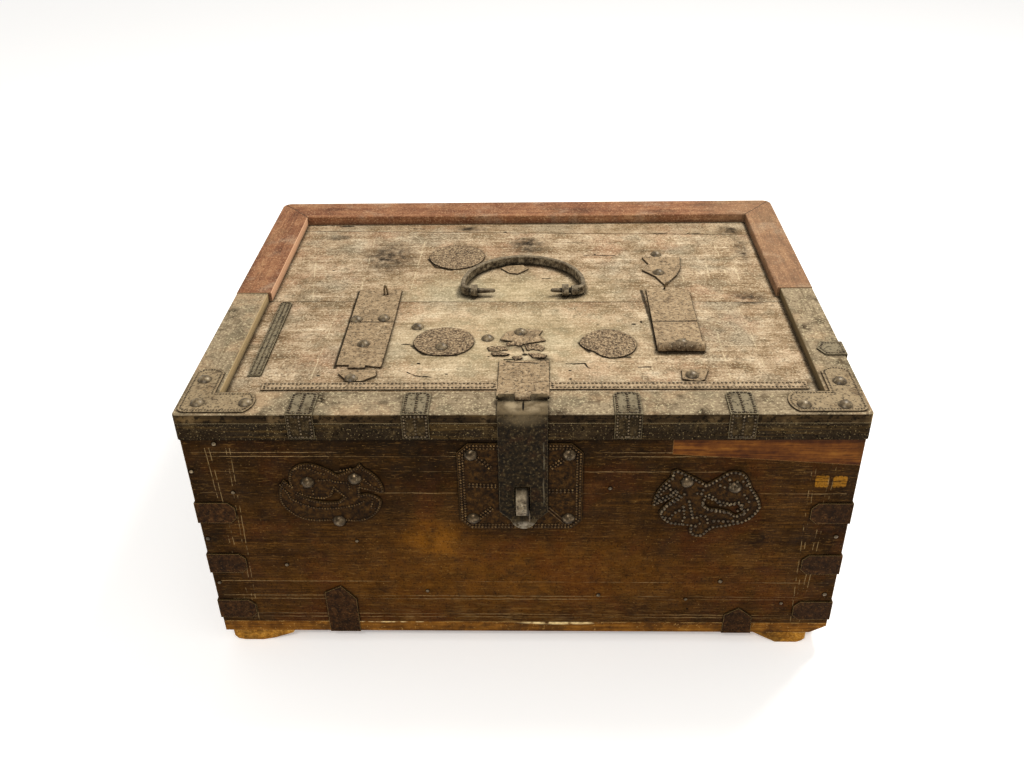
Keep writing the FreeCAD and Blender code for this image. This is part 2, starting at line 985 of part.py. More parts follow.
def hinge_leaf(label, x, outline, knuckles):
    """A leaf plate with knuckles curled round the hinge axis."""
    body = new_body(label)
    sheet_sketch = new_sketch(body, "XZ_Plane")
    draw(sheet_sketch, outline)
    pad(body, sheet_sketch, size.hinge_thickness)
    for start, length in knuckles:
        ring = new_sketch(body, "YZ_Plane", start)
        ring_y = size.hinge_barrel_radius - size.hinge_thickness
        draw_circle(ring, ring_y, zero, size.hinge_barrel_radius)
        draw_circle(ring, ring_y, zero, hinge_bore)
        pad(body, ring, length)
    place(body, x, case_back + size.hinge_thickness, hinge_axis_z)
    finish(body, label)


case_leaf_outline = [
    (-hinge_half, -size.hinge_case_height),
    (hinge_half, -size.hinge_case_height),
    (hinge_half, zero),
    (knuckle_half + knuckle_gap_half, zero),
    (knuckle_half + knuckle_gap_half, -knuckle_clear),
    (-knuckle_half - knuckle_gap_half, -knuckle_clear),
    (-knuckle_half - knuckle_gap_half, zero),
    (-hinge_half, zero),
]
lid_leaf_outline = [
    (-hinge_half, size.hinge_lid_height),
    (-hinge_half, knuckle_clear),
    (-knuckle_half + knuckle_gap_half, knuckle_clear),
    (-knuckle_half + knuckle_gap_half, zero),
    (knuckle_half - knuckle_gap_half, zero),
    (knuckle_half - knuckle_gap_half, knuckle_clear),
    (hinge_half, knuckle_clear),
    (hinge_half, size.hinge_lid_height),
]
case_knuckles = [
    (-hinge_half, end_knuckle),
    (knuckle_half + knuckle_gap_half, end_knuckle),
]
lid_knuckles = [(-knuckle_half + knuckle_gap_half, 2 * (knuckle_half - knuckle_gap_half))]


def rod(radius, length, x, y, z):
    """A round rod along X."""
    cylinder = document.addObject("Part::Cylinder", "rod")
    bind(cylinder, "Radius", radius)
    bind(cylinder, "Height", length)
    cylinder.Placement.Rotation = FreeCAD.Rotation(FreeCAD.Vector(0, 1, 0), 90)
    place(cylinder, x, y, z)
    return cylinder


def hinge_pin(label, x):
    """A pin with a head at its left end."""
    tail = size.hinge_pin_head_height
    shaft = rod(
        size.hinge_pin_radius,
        size.hinge_width + 2 * tail,
        x - hinge_half - tail,
        hinge_axis_y,
        hinge_axis_z,
    )
    head = rod(
        size.hinge_pin_head, tail, x - hinge_half - tail, hinge_axis_y, hinge_axis_z
    )
    pin = document.addObject("Part::Fuse", label + "_pin")
    pin.Base = shaft
    pin.Tool = head
    finish(pin, label)


case_nails = []
lid_nails = []
for side, x in [("left", across(-hinge_share)), ("right", across(hinge_share))]:
    hinge_leaf(f"{side}_hinge_case_leaf", x, case_leaf_outline, case_knuckles)
    hinge_leaf(f"{side}_hinge_lid_leaf", x, lid_leaf_outline, lid_knuckles)
    hinge_pin(f"{side}_hinge_pin", x)
    case_nail_level = hinge_axis_z - (size.hinge_case_height + knuckle_clear) * half
    lid_nail_level = hinge_axis_z + (size.hinge_lid_height + knuckle_clear) * half
    for step in (-1, 0, 1):
        nail_x = x + knuckle_half * 2 * step
        case_nails.append(back_nail(nail_x, case_nail_level))
        lid_nails.append(back_nail(nail_x, lid_nail_level))
group("case_hinge_nails", case_nails)
group("lid_hinge_nails", lid_nails)


# Lock plate and staple on the front board

lock_top = split_level - size.lock_plate_drop
lock_bottom = lock_top - size.lock_plate_height
lock_half = size.lock_plate_width * half
cut = size.lock_plate_chamfer
lock_outline = [
    (-lock_half + cut, zero),
    (lock_half - cut, zero),
    (lock_half, cut),
    (lock_half, size.lock_plate_height - cut),
    (lock_half - cut, size.lock_plate_height),
    (-lock_half + cut, size.lock_plate_height),
    (-lock_half, size.lock_plate_height - cut),
    (-lock_half, cut),
]
lock_plate = plate(
    "lock_plate",
    "XZ_Plane",
    lock_outline,
    size.sheet_thickness,
    y=case_front,
    z=lock_bottom,
    holes=staple_slots(wall_bottom + staple_level - lock_bottom),
)
finish(lock_plate, "lock_plate")

staple_straight = staple_half - size.staple_reach
leg_inner = staple_half - size.staple_thickness
board = size.wall_thickness
clench = board + size.staple_thickness
staple_outline = [
    (board, -staple_half - size.staple_clench),
    (clench, -staple_half - size.staple_clench),
    (clench, -leg_inner),
    (staple_straight, -leg_inner, -quarter_turn_bulge),
    (staple_straight - leg_inner, zero, -quarter_turn_bulge),
    (staple_straight, leg_inner),
    (clench, leg_inner),
    (clench, staple_half + size.staple_clench),
    (board, staple_half + size.staple_clench),
    (board, staple_half),
    (staple_straight, staple_half, quarter_turn_bulge),
    (-size.staple_reach, zero, quarter_turn_bulge),
    (staple_straight, -staple_half),
    (board, -staple_half),
]
staple = plate(
    "staple",
    "YZ_Plane",
    staple_outline,
    size.staple_width,
    x=size.staple_place - size.staple_width * half,
    y=case_front,
    z=wall_bottom + staple_level,
)
finish(staple, "staple")


# Ornaments, corner straps and bottom straps on the front

ornaments = [
    ("left_ornament", left_ornament_shares, left_ornament_hole_shares,
     left_ornament_share, size.left_ornament_width, size.left_ornament_height,
     [(0.29, 0.68), (0.74, 0.74), (0.54, 0.0)]),
    ("right_ornament", right_ornament_shares, right_ornament_hole_shares,
     right_ornament_share, size.right_ornament_width, size.right_ornament_height,
     [(0.30, 0.82), (0.74, 0.74)]),
]
front_studs = []
for label, shares, hole_shares, place_share, width, height, stud_shares in ornaments:
    left = across(place_share[0]) - width * half
    low = split_level - size.wall_height * place_share[1] - height * half
    ornament = plate(
        label,
        "XZ_Plane",
        scaled(shares, width, height),
        size.sheet_thickness,
        x=left,
        y=case_front,
        z=low,
        holes=[scaled(hole_shares, width, height)],
    )
    finish(ornament, label)
    for right_share, up_share in stud_shares:
        front_studs.append(front_stud(left + width * right_share, low + height * up_share))
for side in (-1, 1):
    stud_x = side * (lock_half - size.lock_stud_inset)
    for stud_z in (lock_bottom + size.lock_stud_inset, lock_top - size.lock_stud_inset):
        front_studs.append(front_stud(stud_x, stud_z))
group("front_studs", front_studs)


def corner_strap(level, right):
    """A strap round a front corner, with bevelled ends."""
    body = new_body("corner_strap")
    tall = size.corner_strap_height
    bevel = tall / 4
    reach = size.corner_strap_front
    front_outline = [
        (-size.sheet_thickness, zero),
        (reach - bevel, zero),
        (reach, bevel),
        (reach, tall - bevel),
        (reach - bevel, tall),
        (-size.sheet_thickness, tall),
    ]
    front = new_sketch(body, "XZ_Plane")
    draw(front, mirrored(front_outline) if right else front_outline)
    pad(body, front, size.sheet_thickness)
    side_reach = size.corner_strap_side
    side_outline = [
        (zero, zero),
        (side_reach - bevel, zero),
        (side_reach, bevel),
        (side_reach, tall - bevel),
        (side_reach - bevel, tall),
        (zero, tall),
    ]
    side_sketch = new_sketch(body, "YZ_Plane", zero + 0 if right else -size.sheet_thickness)
    draw(side_sketch, side_outline)
    pad(body, side_sketch, size.sheet_thickness)
    place(body, case_right if right else case_left, case_front, level)
    return body


strap_levels = [
    split_level - size.wall_height * share - size.corner_strap_height * half
    for share in corner_strap_shares
]
for label, right in [("left_corner_straps", False), ("right_corner_straps", True)]:
    group(label, [corner_strap(level, right) for level in strap_levels])

bottom_straps = [
    (
        "left_bottom_strap",
        [(0.0, 0.0), (1.0, 0.0), (1.0, 0.72), (0.55, 1.0), (0.0, 0.86)],
        across(bottom_strap_shares[0]),
        size.left_bottom_strap_width,
        size.left_bottom_strap_height,
    ),
    (
        "right_bottom_strap",
        [(0.0, 0.0), (1.0, 0.0), (0.96, 0.66), (0.5, 1.0), (0.04, 0.74)],
        across(bottom_strap_shares[1]),
        size.right_bottom_strap_width,
        size.right_bottom_strap_height,
    ),
]
for label, strap_shares, x, width, height in bottom_straps:
    strap = plate(
        label,
        "XZ_Plane",
        scaled(strap_shares, width, height),
        size.sheet_thickness,
        x=x - width * half,
        y=case_front,
        z=base_bottom + size.base_chamfer,
    )
    finish(strap, label)


# Straps and corner plates on the rails of the lid


def edge_strap(x):
    """A strap over the front rail and down the front of the lid."""
    body = new_body("edge_strap")
    side = size.edge_strap_width * half
    rear = size.edge_strap_reach
    top = new_sketch(body, "XY_Plane")
    top_outline = [
        (-side, -size.sheet_thickness),
        (side, -size.sheet_thickness),
        (side, rear - side * half, quarter_turn_bulge),
        (side * half, rear),
        (-side * half, rear, quarter_turn_bulge),
        (-side, rear - side * half),
    ]
    draw(top, top_outline)
    pad(body, top, size.sheet_thickness)
    front = new_sketch(body, "XZ_Plane")
    draw(front, box_outline(-side, -size.edge_strap_drop, side, zero))
    pad(body, front, size.sheet_thickness)
    place(body, x, lid_front, rail_level)
    return body


group("edge_straps", [edge_strap(across(share)) for share in edge_strap_shares])


def corner_plate_outline():
    """The left corner plate, from the corner of the lid."""
    near = size.corner_plate_inset
    long_end = size.corner_plate_length
    deep_end = size.corner_plate_depth
    inner_x = size.old_side_rail_width - near
    inner_y = size.front_rail_width - near
    rounding = inner_x / 4
    return [
        (near + rounding, near),
        (long_end, near, 0.45),
        (long_end, inner_y),
        (inner_x, inner_y),
        (inner_x, deep_end, 0.55),
        (near, deep_end),
        (near, near + rounding, quarter_turn_bulge),
    ]


for label, right in [("left_corner_plate", False), ("right_corner_plate", True)]:
    outline = corner_plate_outline()
    corner = plate(
        label,
        "XY_Plane",
        mirrored(outline) if right else outline,
        size.sheet_thickness,
        x=lid_right if right else lid_left,
        y=lid_front,
        z=rail_level,
    )
    finish(corner, label)


def side_strap():
    """A strap over the right rail and down its side, with a pointed end."""
    body = new_body("side_strap")
    side = size.side_strap_width * half
    reach = size.side_strap_reach
    top = new_sketch(body, "XY_Plane")
    top_outline = [
        (-reach, zero),
        (-reach + side * half, -side),
        (size.sheet_thickness, -side),
        (size.sheet_thickness, side),
        (-reach + side * half, side),
    ]
    draw(top, top_outline)
    pad(body, top, size.sheet_thickness)
    edge = new_sketch(body, "YZ_Plane")
    draw(edge, box_outline(-side, -size.side_strap_drop, side, zero))
    pad(body, edge, size.sheet_thickness)
    place(body, lid_right, along(side_strap_share), rail_level)
    finish(body, "side_strap")


side_strap()


def lid_place(shares):
    return across(shares[0]), along(shares[1])


band_level = panel_level + size.band_thickness
sheet_level = panel_level + size.sheet_thickness
panel_studs = [stud(*lid_place(s), band_level) for s in band_stud_shares]
panel_studs += [stud(*lid_place(s), sheet_level) for s in sheet_stud_shares]
panel_studs += [stud(*lid_place(s), panel_level) for s in bare_stud_shares]
group("panel_studs", panel_studs)
plate_top = rail_level + size.sheet_thickness
group("rail_studs", [stud(*lid_place(s), plate_top) for s in corner_stud_shares])


# Hasp, its anchor leaf and its pin

hasp_axis_y = lid_front + size.hasp_back
hasp_axis_z = rail_level + size.knuckle_radius
hasp_knuckle_radius = size.knuckle_radius - size.seat_gap
hasp_bore = size.hasp_pin_radius + size.hasp_pin_clearance
hasp_left = size.hasp_place - size.hasp_width * half
hasp_right = size.hasp_place + size.hasp_width * half
middle_half = size.hasp_middle_knuckle * half
middle_clear = middle_half + size.seat_gap
knuckle_room = size.knuckle_radius + size.seat_gap
leaf_tip = hasp_axis_y + knuckle_room
leaf_left = size.hasp_place - size.leaf_width * half
leaf_right = size.hasp_place + size.leaf_width * half


def knuckle(body, start, length, radius):
    """A knuckle round the hasp pin."""
    ring = new_sketch(body, "YZ_Plane", start)
    draw_circle(ring, hasp_axis_y, hasp_axis_z, radius)
    draw_circle(ring, hasp_axis_y, hasp_axis_z, hasp_bore)
    pad(body, ring, length)


def hasp_anchor_leaf():
    """The leaf lies on the panel, climbs the front rail and ends in a knuckle."""
    body = new_body("hasp_anchor_leaf")
    thick = size.sheet_thickness
    leaf_rear = inner_front + size.leaf_reach
    profile = new_sketch(body, "YZ_Plane", leaf_left)
    profile_outline = [
        (inner_front, panel_level),
        (leaf_rear, panel_level),
        (leaf_rear, panel_level + thick),
        (inner_front + thick, panel_level + thick),
        (inner_front + thick, rail_level + thick),
        (leaf_tip, rail_level + thick),
        (leaf_tip, rail_level),
        (inner_front, rail_level),
    ]
    draw(profile, profile_outline)
    pad(body, profile, size.leaf_width)
    tongue = new_sketch(body, "XY_Plane", rail_level)
    tongue_left = size.hasp_place - middle_half
    tongue_right = size.hasp_place + middle_half
    draw(tongue, box_outline(tongue_left, hasp_axis_y, tongue_right, leaf_tip))
    pad(body, tongue, thick)
    knuckle(body, tongue_left, size.hasp_middle_knuckle, size.knuckle_radius)
    finish(body, "hasp_anchor_leaf")


def hasp():
    """A slotted strap that hangs over the front from its knuckles."""
    body = new_body("hasp")
    thick = size.hasp_thickness
    low = rail_level + size.seat_gap
    inner = lid_front - size.seat_gap
    outer = inner - thick
    bend = size.hasp_bend_radius
    inner_bend = bend - thick
    stub = low - bend
    bottom = rail_level - size.hasp_drop
    corner = size.hasp_corner
    profile = new_sketch(body, "YZ_Plane", hasp_left)
    profile_outline = [
        (hasp_axis_y, low),
        (hasp_axis_y, low + thick),
        (outer + bend, low + thick, quarter_turn_bulge),
        (outer, low + thick - bend),
        (outer, stub),
        (inner, stub),
        (inner, low - inner_bend, -quarter_turn_bulge),
        (inner + inner_bend, low),
    ]
    draw(profile, profile_outline)
    pad(body, profile, size.hasp_width)
    front = new_sketch(body, "XZ_Plane", -inner)
    front_outline = [
        (hasp_left + corner, bottom),
        (hasp_right - corner, bottom),
        (hasp_right, bottom + corner),
        (hasp_right, stub),
        (hasp_left, stub),
        (hasp_left, bottom + corner),
    ]
    draw(front, front_outline)
    pad(body, front, thick)
    knuckle_length = size.hasp_width * half - middle_clear
    knuckle(body, hasp_left, knuckle_length, hasp_knuckle_radius)
    knuckle(body, size.hasp_place + middle_clear, knuckle_length, hasp_knuckle_radius)
    lip = new_sketch(body, "XZ_Plane", -inner)
    lip.AttachmentOffset.Rotation = FreeCAD.Rotation(FreeCAD.Vector(-1, 0, 0), 1)
    bind(lip, "AttachmentOffset.Base.y", bottom)
    bind(lip, "AttachmentOffset.Rotation.Angle", size.hasp_lip_angle)
    lip_outline = [
        (size.hasp_place - size.hasp_lip_radius, zero, 0.75),
        (size.hasp_place + size.hasp_lip_radius, zero),
    ]
    draw(lip, lip_outline)
    pad(body, lip, thick)
    notch = new_sketch(body, "XY_Plane", low + thick)
    notch_outline = box_outline(
        size.hasp_place - middle_clear,
        hasp_axis_y - knuckle_room,
        size.hasp_place + middle_clear,
        hasp_axis_y,
    )
    draw(notch, notch_outline)
    pocket(body, notch, thick)
    slot = new_sketch(body, "XZ_Plane", -outer)
    slot_top = rail_level - size.hasp_slot_drop
    slot_left = size.staple_place - size.hasp_slot_width * half
    slot_right = size.staple_place + size.hasp_slot_width * half
    slot_bottom = slot_top - size.hasp_slot_height
    draw(slot, box_outline(slot_left, slot_bottom, slot_right, slot_top))
    pocket(body, slot, thick)
    bore = new_sketch(body, "YZ_Plane", hasp_left)
    draw_circle(bore, hasp_axis_y, hasp_axis_z, hasp_bore)
    pocket(body, bore, size.hasp_width, along_normal=True)
    finish(body, "hasp")


hasp_anchor_leaf()
hasp()
pin_length = size.hasp_width + 2 * size.hasp_pin_overrun
pin_start = hasp_left - size.hasp_pin_overrun
hasp_pin = rod(size.hasp_pin_radius, pin_length, pin_start, hasp_axis_y, hasp_axis_z)
finish(hasp_pin, "hasp_pin")


# Bail handle: a hoop of flat strip whose ends turn in as round pins

eye_axis_z = panel_level + size.eye_outer_radius
strip_half = size.bail_strip_thickness * half
hoop = size.bail_radius
elbow = size.bail_elbow
rise = size.bail_rise
centre_gap = hoop - elbow
centre_drop = elbow - rise
elbow_x = root(centre_gap * centre_gap - centre_drop * centre_drop)
outer_hoop = hoop + strip_half
inner_hoop = hoop - strip_half
outer_elbow = elbow + strip_half
inner_elbow = elbow - strip_half


def meeting(radius):
    """Where the hoop of this radius runs into its elbow."""
    return radius * elbow_x / centre_gap, rise + radius * centre_drop / centre_gap


outer_x, outer_y = meeting(outer_hoop)
inner_x, inner_y = meeting(inner_hoop)
bail_outline = [
    (elbow_x, -strip_half, outer_elbow),
    (outer_x, outer_y, outer_hoop),
    (outer_hoop, rise, quarter_turn_bulge),
    (zero, rise + outer_hoop, quarter_turn_bulge),
    (-outer_hoop, rise, outer_hoop),
    (-outer_x, outer_y, outer_elbow),
    (-elbow_x, -strip_half),
    (-elbow_x, strip_half, -inner_elbow),
    (-inner_x, inner_y, -inner_hoop),
    (-inner_hoop, rise, -quarter_turn_bulge),
    (zero, rise + inner_hoop, -quarter_turn_bulge),
    (inner_hoop, rise, -inner_hoop),
    (inner_x, inner_y, -inner_elbow),
    (elbow_x, strip_half),
]


def handle():
    body = new_body("handle")
    outline = new_sketch(body, "XY_Plane")
    draw(outline, bail_outline)
    pad(body, outline, size.bail_strip_height, centred=True)
    strip_rise = size.bail_strip_height.value * half

    def rim(middle, edge):
        return same(abs(middle.z), strip_rise) and edge.Length > strip_rise * 2

    soften(body, "Chamfer", rim, size.bail_edge_bevel)
    pins = new_sketch(body, "XY_Plane")
    inner_end = size.bail_pin_inner_end
    tip = size.bail_pin_tip_radius
    root_end = elbow_x + strip_half
    pin_outline = [
        (inner_end, zero),
        (root_end, zero),
        (root_end, size.bail_pin_radius),
        (elbow_x - size.eye_width, size.bail_pin_radius),
        (inner_end + tip, tip, quarter_turn_bulge),
    ]
    draw(pins, pin_outline)
    draw(pins, mirrored(pin_outline))
    turned = body.newObject("PartDesign::Revolution", "pins")
    turned.Profile = pins
    turned.ReferenceAxis = (pins, ["H_Axis"])
    turned.Angle = 360
    rest_gap = size.eye_outer_radius - size.bail_strip_height * half - size.seat_gap
    reach = rise + outer_hoop
    body.Placement.Rotation = FreeCAD.Rotation(FreeCAD.Vector(-1, 0, 0), 1)
    body.setExpression("Placement.Rotation.Angle", f"asin({rest_gap.text} / {reach.text})")
    place(body, zero, bail_y, eye_axis_z)
    finish(body, "handle")


def handle_eye(x):
    """A strip eye through the lid, its two legs bent over underneath."""
    body = new_body("handle_eye")
    start = -size.eye_width * half
    ring = new_sketch(body, "YZ_Plane", start)
    bore = size.bail_pin_radius + size.eye_clearance
    draw_circle(ring, zero, zero, size.eye_outer_radius)
    draw_circle(ring, zero, zero, bore)
    pad(body, ring, size.eye_width)
    legs = new_sketch(body, "YZ_Plane", start)
    top = -(size.eye_outer_radius + bore) * half
    under = lid_bottom - eye_axis_z
    low = under - size.eye_clench_thickness
    far = shank_half + size.eye_clench
    legs_outline = [
        (-far, low),
        (far, low),
        (far, under),
        (shank_half, under),
        (shank_half, top),
        (-shank_half, top),
        (-shank_half, under),
        (-far, under),
    ]
    draw(legs, legs_outline)
    pad(body, legs, size.eye_width)
    place(body, x, bail_y, eye_axis_z)
    return body


handle()
group("handle_eyes", [handle_eye(x) for x in eye_places])


# Thin iron on the panel of the lid: strips, remains of bands, roundels

border_rear = along(border_rear_share)
border_front = border_rear - size.border_width
border_pieces = [
    (across(border_end_shares[0]), leaf_left - size.seat_gap),
    (leaf_right + size.seat_gap, across(border_end_shares[1])),
]
border = []
for left, right in border_pieces:
    outline = box_outline(left, border_front, right, border_rear)
    piece = plate("border", "XY_Plane", outline, size.sheet_thickness, z=panel_level)
    border.append(piece)
group("border_strip", border)


def on_panel(label, shares, thickness, x, rear, width, length):
    """A flat piece on the panel, centred on x, that runs forward from rear."""
    piece = plate(
        label,
        "XY_Plane",
        scaled(shares, width, length),
        thickness,
        x=x - width * half,
        y=rear - length,
        z=panel_level,
    )
    finish(piece, label)


left_strip_shares = [(0.0, 0.0), (1.0, 0.0), (1.0, 0.95, 0.6), (0.0, 0.95)]
on_panel(
    "left_tin_strip",
    left_strip_shares,
    size.sheet_thickness,
    left_rail_inner + size.left_strip_gap + size.left_strip_width * half,
    left_joint,
    size.left_strip_width,
    size.lid_depth * left_strip_length_share,
)

upper_length = size.lid_depth * upper_length_share
left_lower_length = size.lid_depth * left_lower_length_share
right_lower_length = size.lid_depth * right_lower_length_share
left_lower_rear = along(left_band_rear_share) - upper_length
left_tip_rear = left_lower_rear - left_lower_length - size.left_tip_gap
right_lower_rear = along(right_band_rear_share) - upper_length
whole_shares = [(0.0, 0.0), (1.0, 0.0), (1.0, 1.0), (0.0, 1.0)]
band_pieces = [
    ("left_band_upper", whole_shares, left_band_share,
     along(left_band_rear_share), size.band_width, upper_length),
    ("left_band_lower", left_lower_shares, left_band_share,
     left_lower_rear, size.band_width, left_lower_length),
    ("left_band_tip", left_tip_shares, left_band_share,
     left_tip_rear, size.left_tip_width, size.lid_depth * tip_length_share),
    ("right_band_remnant", remnant_shares, right_band_share,
     along(remnant_rear_share), size.band_width, size.lid_depth * remnant_length_share),
    ("right_band_upper", right_upper_shares, right_band_share,
     along(right_band_rear_share), size.band_width, upper_length),
    ("right_band_tail", tail_shares, tail_share,
     along(tail_rear_share), size.right_tail_width, size.lid_depth * tail_length_share),
]
for label, shares, x_share, rear, width, length in band_pieces:
    on_panel(label, shares, size.band_thickness, across(x_share), rear, width, length)


def right_band_lower():
    """The lower plate ends in a roll, left from an old knuckle."""
    body = new_body("right_band_lower")
    side = size.band_width * half
    flat = new_sketch(body, "XY_Plane")
    draw(flat, box_outline(-side, -right_lower_length, side, zero))
    pad(body, flat, size.band_thickness)
    roll = new_sketch(body, "YZ_Plane", -side)
    draw_circle(roll, -right_lower_length, size.right_roll_radius, size.right_roll_radius)
    draw_circle(roll, -right_lower_length, size.right_roll_radius, size.right_roll_bore)
    pad(body, roll, size.band_width)
    place(body, across(right_band_share), right_lower_rear, panel_level)
    finish(body, "right_band_lower")


right_band_lower()


def rough_disc(radius, rim_shares):
    """A disc whose rim wanders a little, by eighths of a turn."""
    points = []
    for step, share in enumerate(rim_shares):
        angle = step * math.pi / 4
        across = radius * (share * math.cos(angle))
        along = radius * (share * math.sin(angle))
        points.append((across, along, eighth_turn_bulge))
    return points


roundels = [
    ("rear_left_roundel", rear_left_rim_shares, size.rear_left_roundel_radius,
     rear_left_roundel_share),
    ("front_left_roundel", front_left_rim_shares, size.front_left_roundel_radius,
     front_left_roundel_share),
    ("front_right_roundel", front_right_rim_shares, size.front_right_roundel_radius,
     front_right_roundel_share),
]
for label, rim_shares, radius, place_shares in roundels:
    x, y = lid_place(place_shares)
    outline = rough_disc(radius, rim_shares)
    thin = size.sheet_thickness
    roundel = plate(label, "XY_Plane", outline, thin, x=x, y=y, z=panel_level)
    finish(roundel, label)

on_panel(
    "handle_tin_remnant",
    handle_remnant_shares,
    size.sheet_thickness,
    size.handle_remnant_x,
    bail_y + size.handle_remnant_reach + size.handle_remnant_depth * half,
    size.handle_remnant_width,
    size.handle_remnant_depth,
)
on_panel(
    "middle_tin_remnant",
    middle_remnant_shares,
    size.sheet_thickness,
    across(middle_remnant_share[0]),
    along(middle_remnant_share[1]) + size.middle_remnant_depth * half,
    size.middle_remnant_width,
    size.middle_remnant_depth,
)


document.recompute()

failed = [
    f"{item.Label} ({item.Name}) in {[parent.Label for parent in item.InList]}"
    for item in document.Objects
    if "Invalid" in item.State or "Error" in item.State
]
failed += [
    f"{item.Label} has no valid shape"
    for item in finished
    if item.Shape.isNull() or not item.Shape.isValid()
]
if failed:
    raise RuntimeError("; ".join(failed))

os.makedirs("parts", exist_ok=True)
for item in finished:
    item.Shape.exportStep(f"parts/{item.Label}.step")
    print(item.Label, len(item.Shape.Solids), "solids", round(item.Shape.Volume))
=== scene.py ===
# %% [markdown]
# # Dressing an old damchiya chest
#
# A damchiya is the small dowry chest of western India: a box of thick boards
# on two cross battens, a framed lid on two strap hinges, a bail to lift the
# lid by and a hasp that drops over a staple. This one is old. Sheet iron has
# been nailed on, torn off and nailed on again, and half of the lid's frame is
# newer wood.
#
# The solid pieces come ready made and already hang on their hinges. What is
# left to do here is what the eye judges the chest by: its surfaces, the
# beading punched into the sheet iron, the stray nails, and the light.

# %% Load the chest
import math

import bmesh
import bpy
from mathutils import Matrix, Vector


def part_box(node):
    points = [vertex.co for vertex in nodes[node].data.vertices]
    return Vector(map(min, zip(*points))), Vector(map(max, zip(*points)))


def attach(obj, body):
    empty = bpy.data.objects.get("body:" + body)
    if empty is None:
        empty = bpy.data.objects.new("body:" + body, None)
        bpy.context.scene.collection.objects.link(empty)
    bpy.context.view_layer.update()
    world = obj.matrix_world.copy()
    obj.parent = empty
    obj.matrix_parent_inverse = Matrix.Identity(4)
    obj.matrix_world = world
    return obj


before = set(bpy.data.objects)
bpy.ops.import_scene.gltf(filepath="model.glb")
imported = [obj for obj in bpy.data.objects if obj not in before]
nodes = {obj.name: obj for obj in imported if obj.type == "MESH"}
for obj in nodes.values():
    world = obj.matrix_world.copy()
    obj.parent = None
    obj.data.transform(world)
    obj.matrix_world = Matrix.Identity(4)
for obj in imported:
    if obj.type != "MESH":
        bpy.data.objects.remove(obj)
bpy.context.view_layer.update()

# %% [markdown]
# ## The camera
#
# The picture of the chest was taken standing in front of it, looking down
# at about 33 degrees. A camera could be placed by eye and nudged until it
# fits. Here its place was worked out from the four corners of the lid, which
# is a true rectangle, so the numbers are given once and nothing is nudged.
# A focal length in pixels becomes millimetres on a 36 mm wide sensor.

# %% Camera
picture_width = 1024
focal_pixels = 999.7
looking_down = math.radians(32.865)
turned_left = math.radians(1.98)
leaning = math.radians(-1.225)
eye = Vector((0.01683, -0.83565, 0.68645))

turn = Matrix.Rotation(turned_left, 3, "Z")
ahead = turn @ Vector((0, math.cos(looking_down), -math.sin(looking_down)))
level = turn @ Vector((1, 0, 0))
upward = turn @ Vector((0, math.sin(looking_down), math.cos(looking_down)))
rightward = math.cos(leaning) * level + math.sin(leaning) * upward
topward = math.cos(leaning) * upward - math.sin(leaning) * level

lens = bpy.data.cameras.new("camera")
lens.sensor_width = 36
lens.lens = focal_pixels / picture_width * lens.sensor_width
camera = bpy.data.objects.new("camera", lens)
bpy.context.collection.objects.link(camera)
camera.matrix_world = Matrix.Translation(eye) @ Matrix(
    (rightward, topward, -ahead)
).transposed().to_4x4()
bpy.context.scene.camera = camera
print("lens", round(lens.lens, 2), "mm, camera", round(eye.length, 3), "m away")

# %% [markdown]
# ## Colours and nodes
#
# Every finish below is a net of shader nodes. Three small helpers keep them
# readable. One turns the hex code of a colour, as a screen shows it, into the
# linear values that Blender reckons with. One pairs colours with their places
# in a pattern. The last adds a node, sets it and links it in one line.

# %% Helpers for colours and nodes
def paint(code):
    parts = [int(code[i:i + 2], 16) / 255 for i in (0, 2, 4)]
    linear = [
        part / 12.92 if part <= 0.04045 else ((part + 0.055) / 1.055) ** 2.4
        for part in parts
    ]
    return (*linear, 1.0)


def shades(codes, *places):
    # the ground's colours from dark to light, and where each lies in the pattern
    return list(zip(places or (0.34, 0.45, 0.55, 0.68), codes.split()))


def node(tree, kind, into=None, stops=None, **settings):
    made = tree.nodes.new(kind)
    for name, value in settings.items():
        setattr(made, name, value)
    for socket, value in (into or {}).items():
        if isinstance(value, bpy.types.NodeSocket):
            tree.links.new(value, made.inputs[socket])
        else:
            made.inputs[socket].default_value = value
    if stops:
        band = made.color_ramp.elements
        band[0].position, band[0].color = stops[0][0], paint(stops[0][1])
        band[-1].position, band[-1].color = stops[-1][0], paint(stops[-1][1])
        for at, code in stops[1:-1]:
            band.new(at).color = paint(code)
    return made


print("mid grey is", [round(part, 3) for part in paint("808080")])

# %% [markdown]
# ## The light and the floor
#
# The chest was photographed in soft daylight from above and a little behind
# its right end: the inner edge of the left rail is bright and that of the
# right rail is dark. A bright even world does most of the work. A lamp the
# size of a small window stands behind the right end. It gives the nails their
# highlights and the iron its short shadows. A weaker one in front lifts the
# dark front board. The floor is plain and nearly white, as in the picture,
# and glows a little, so that its far end stays as pale as the near one.

# %% World, lamps and floor
world = bpy.data.worlds.new("studio")
world.use_nodes = True
bpy.context.scene.world = world
sky = world.node_tree.nodes["Background"]
sky.inputs["Color"].default_value = paint("fffdfa")
sky.inputs["Strength"].default_value = 0.64

# name, place, aim, width, watts, colour
lamps = [
    ("window", (0.70, 0.50, 1.6), (0.0, 0.0, 0.2), 0.4, 25, "fffaf2"),
    ("front_fill", (-0.30, -1.40, 1.6), (0.0, -0.25, 0.1), 0.3, 13, "fffaf2"),
]
for name, place, aim, width, watts, code in lamps:
    light = bpy.data.lights.new(name, "AREA")
    light.size = width
    light.energy = watts
    light.color = paint(code)[:3]
    lamp = bpy.data.objects.new(name, light)
    lamp.location = place
    lamp.rotation_euler = (Vector(aim) - Vector(place)).to_track_quat("-Z", "Y").to_euler()
    bpy.context.collection.objects.link(lamp)

bpy.context.scene.view_settings.view_transform = "Standard"

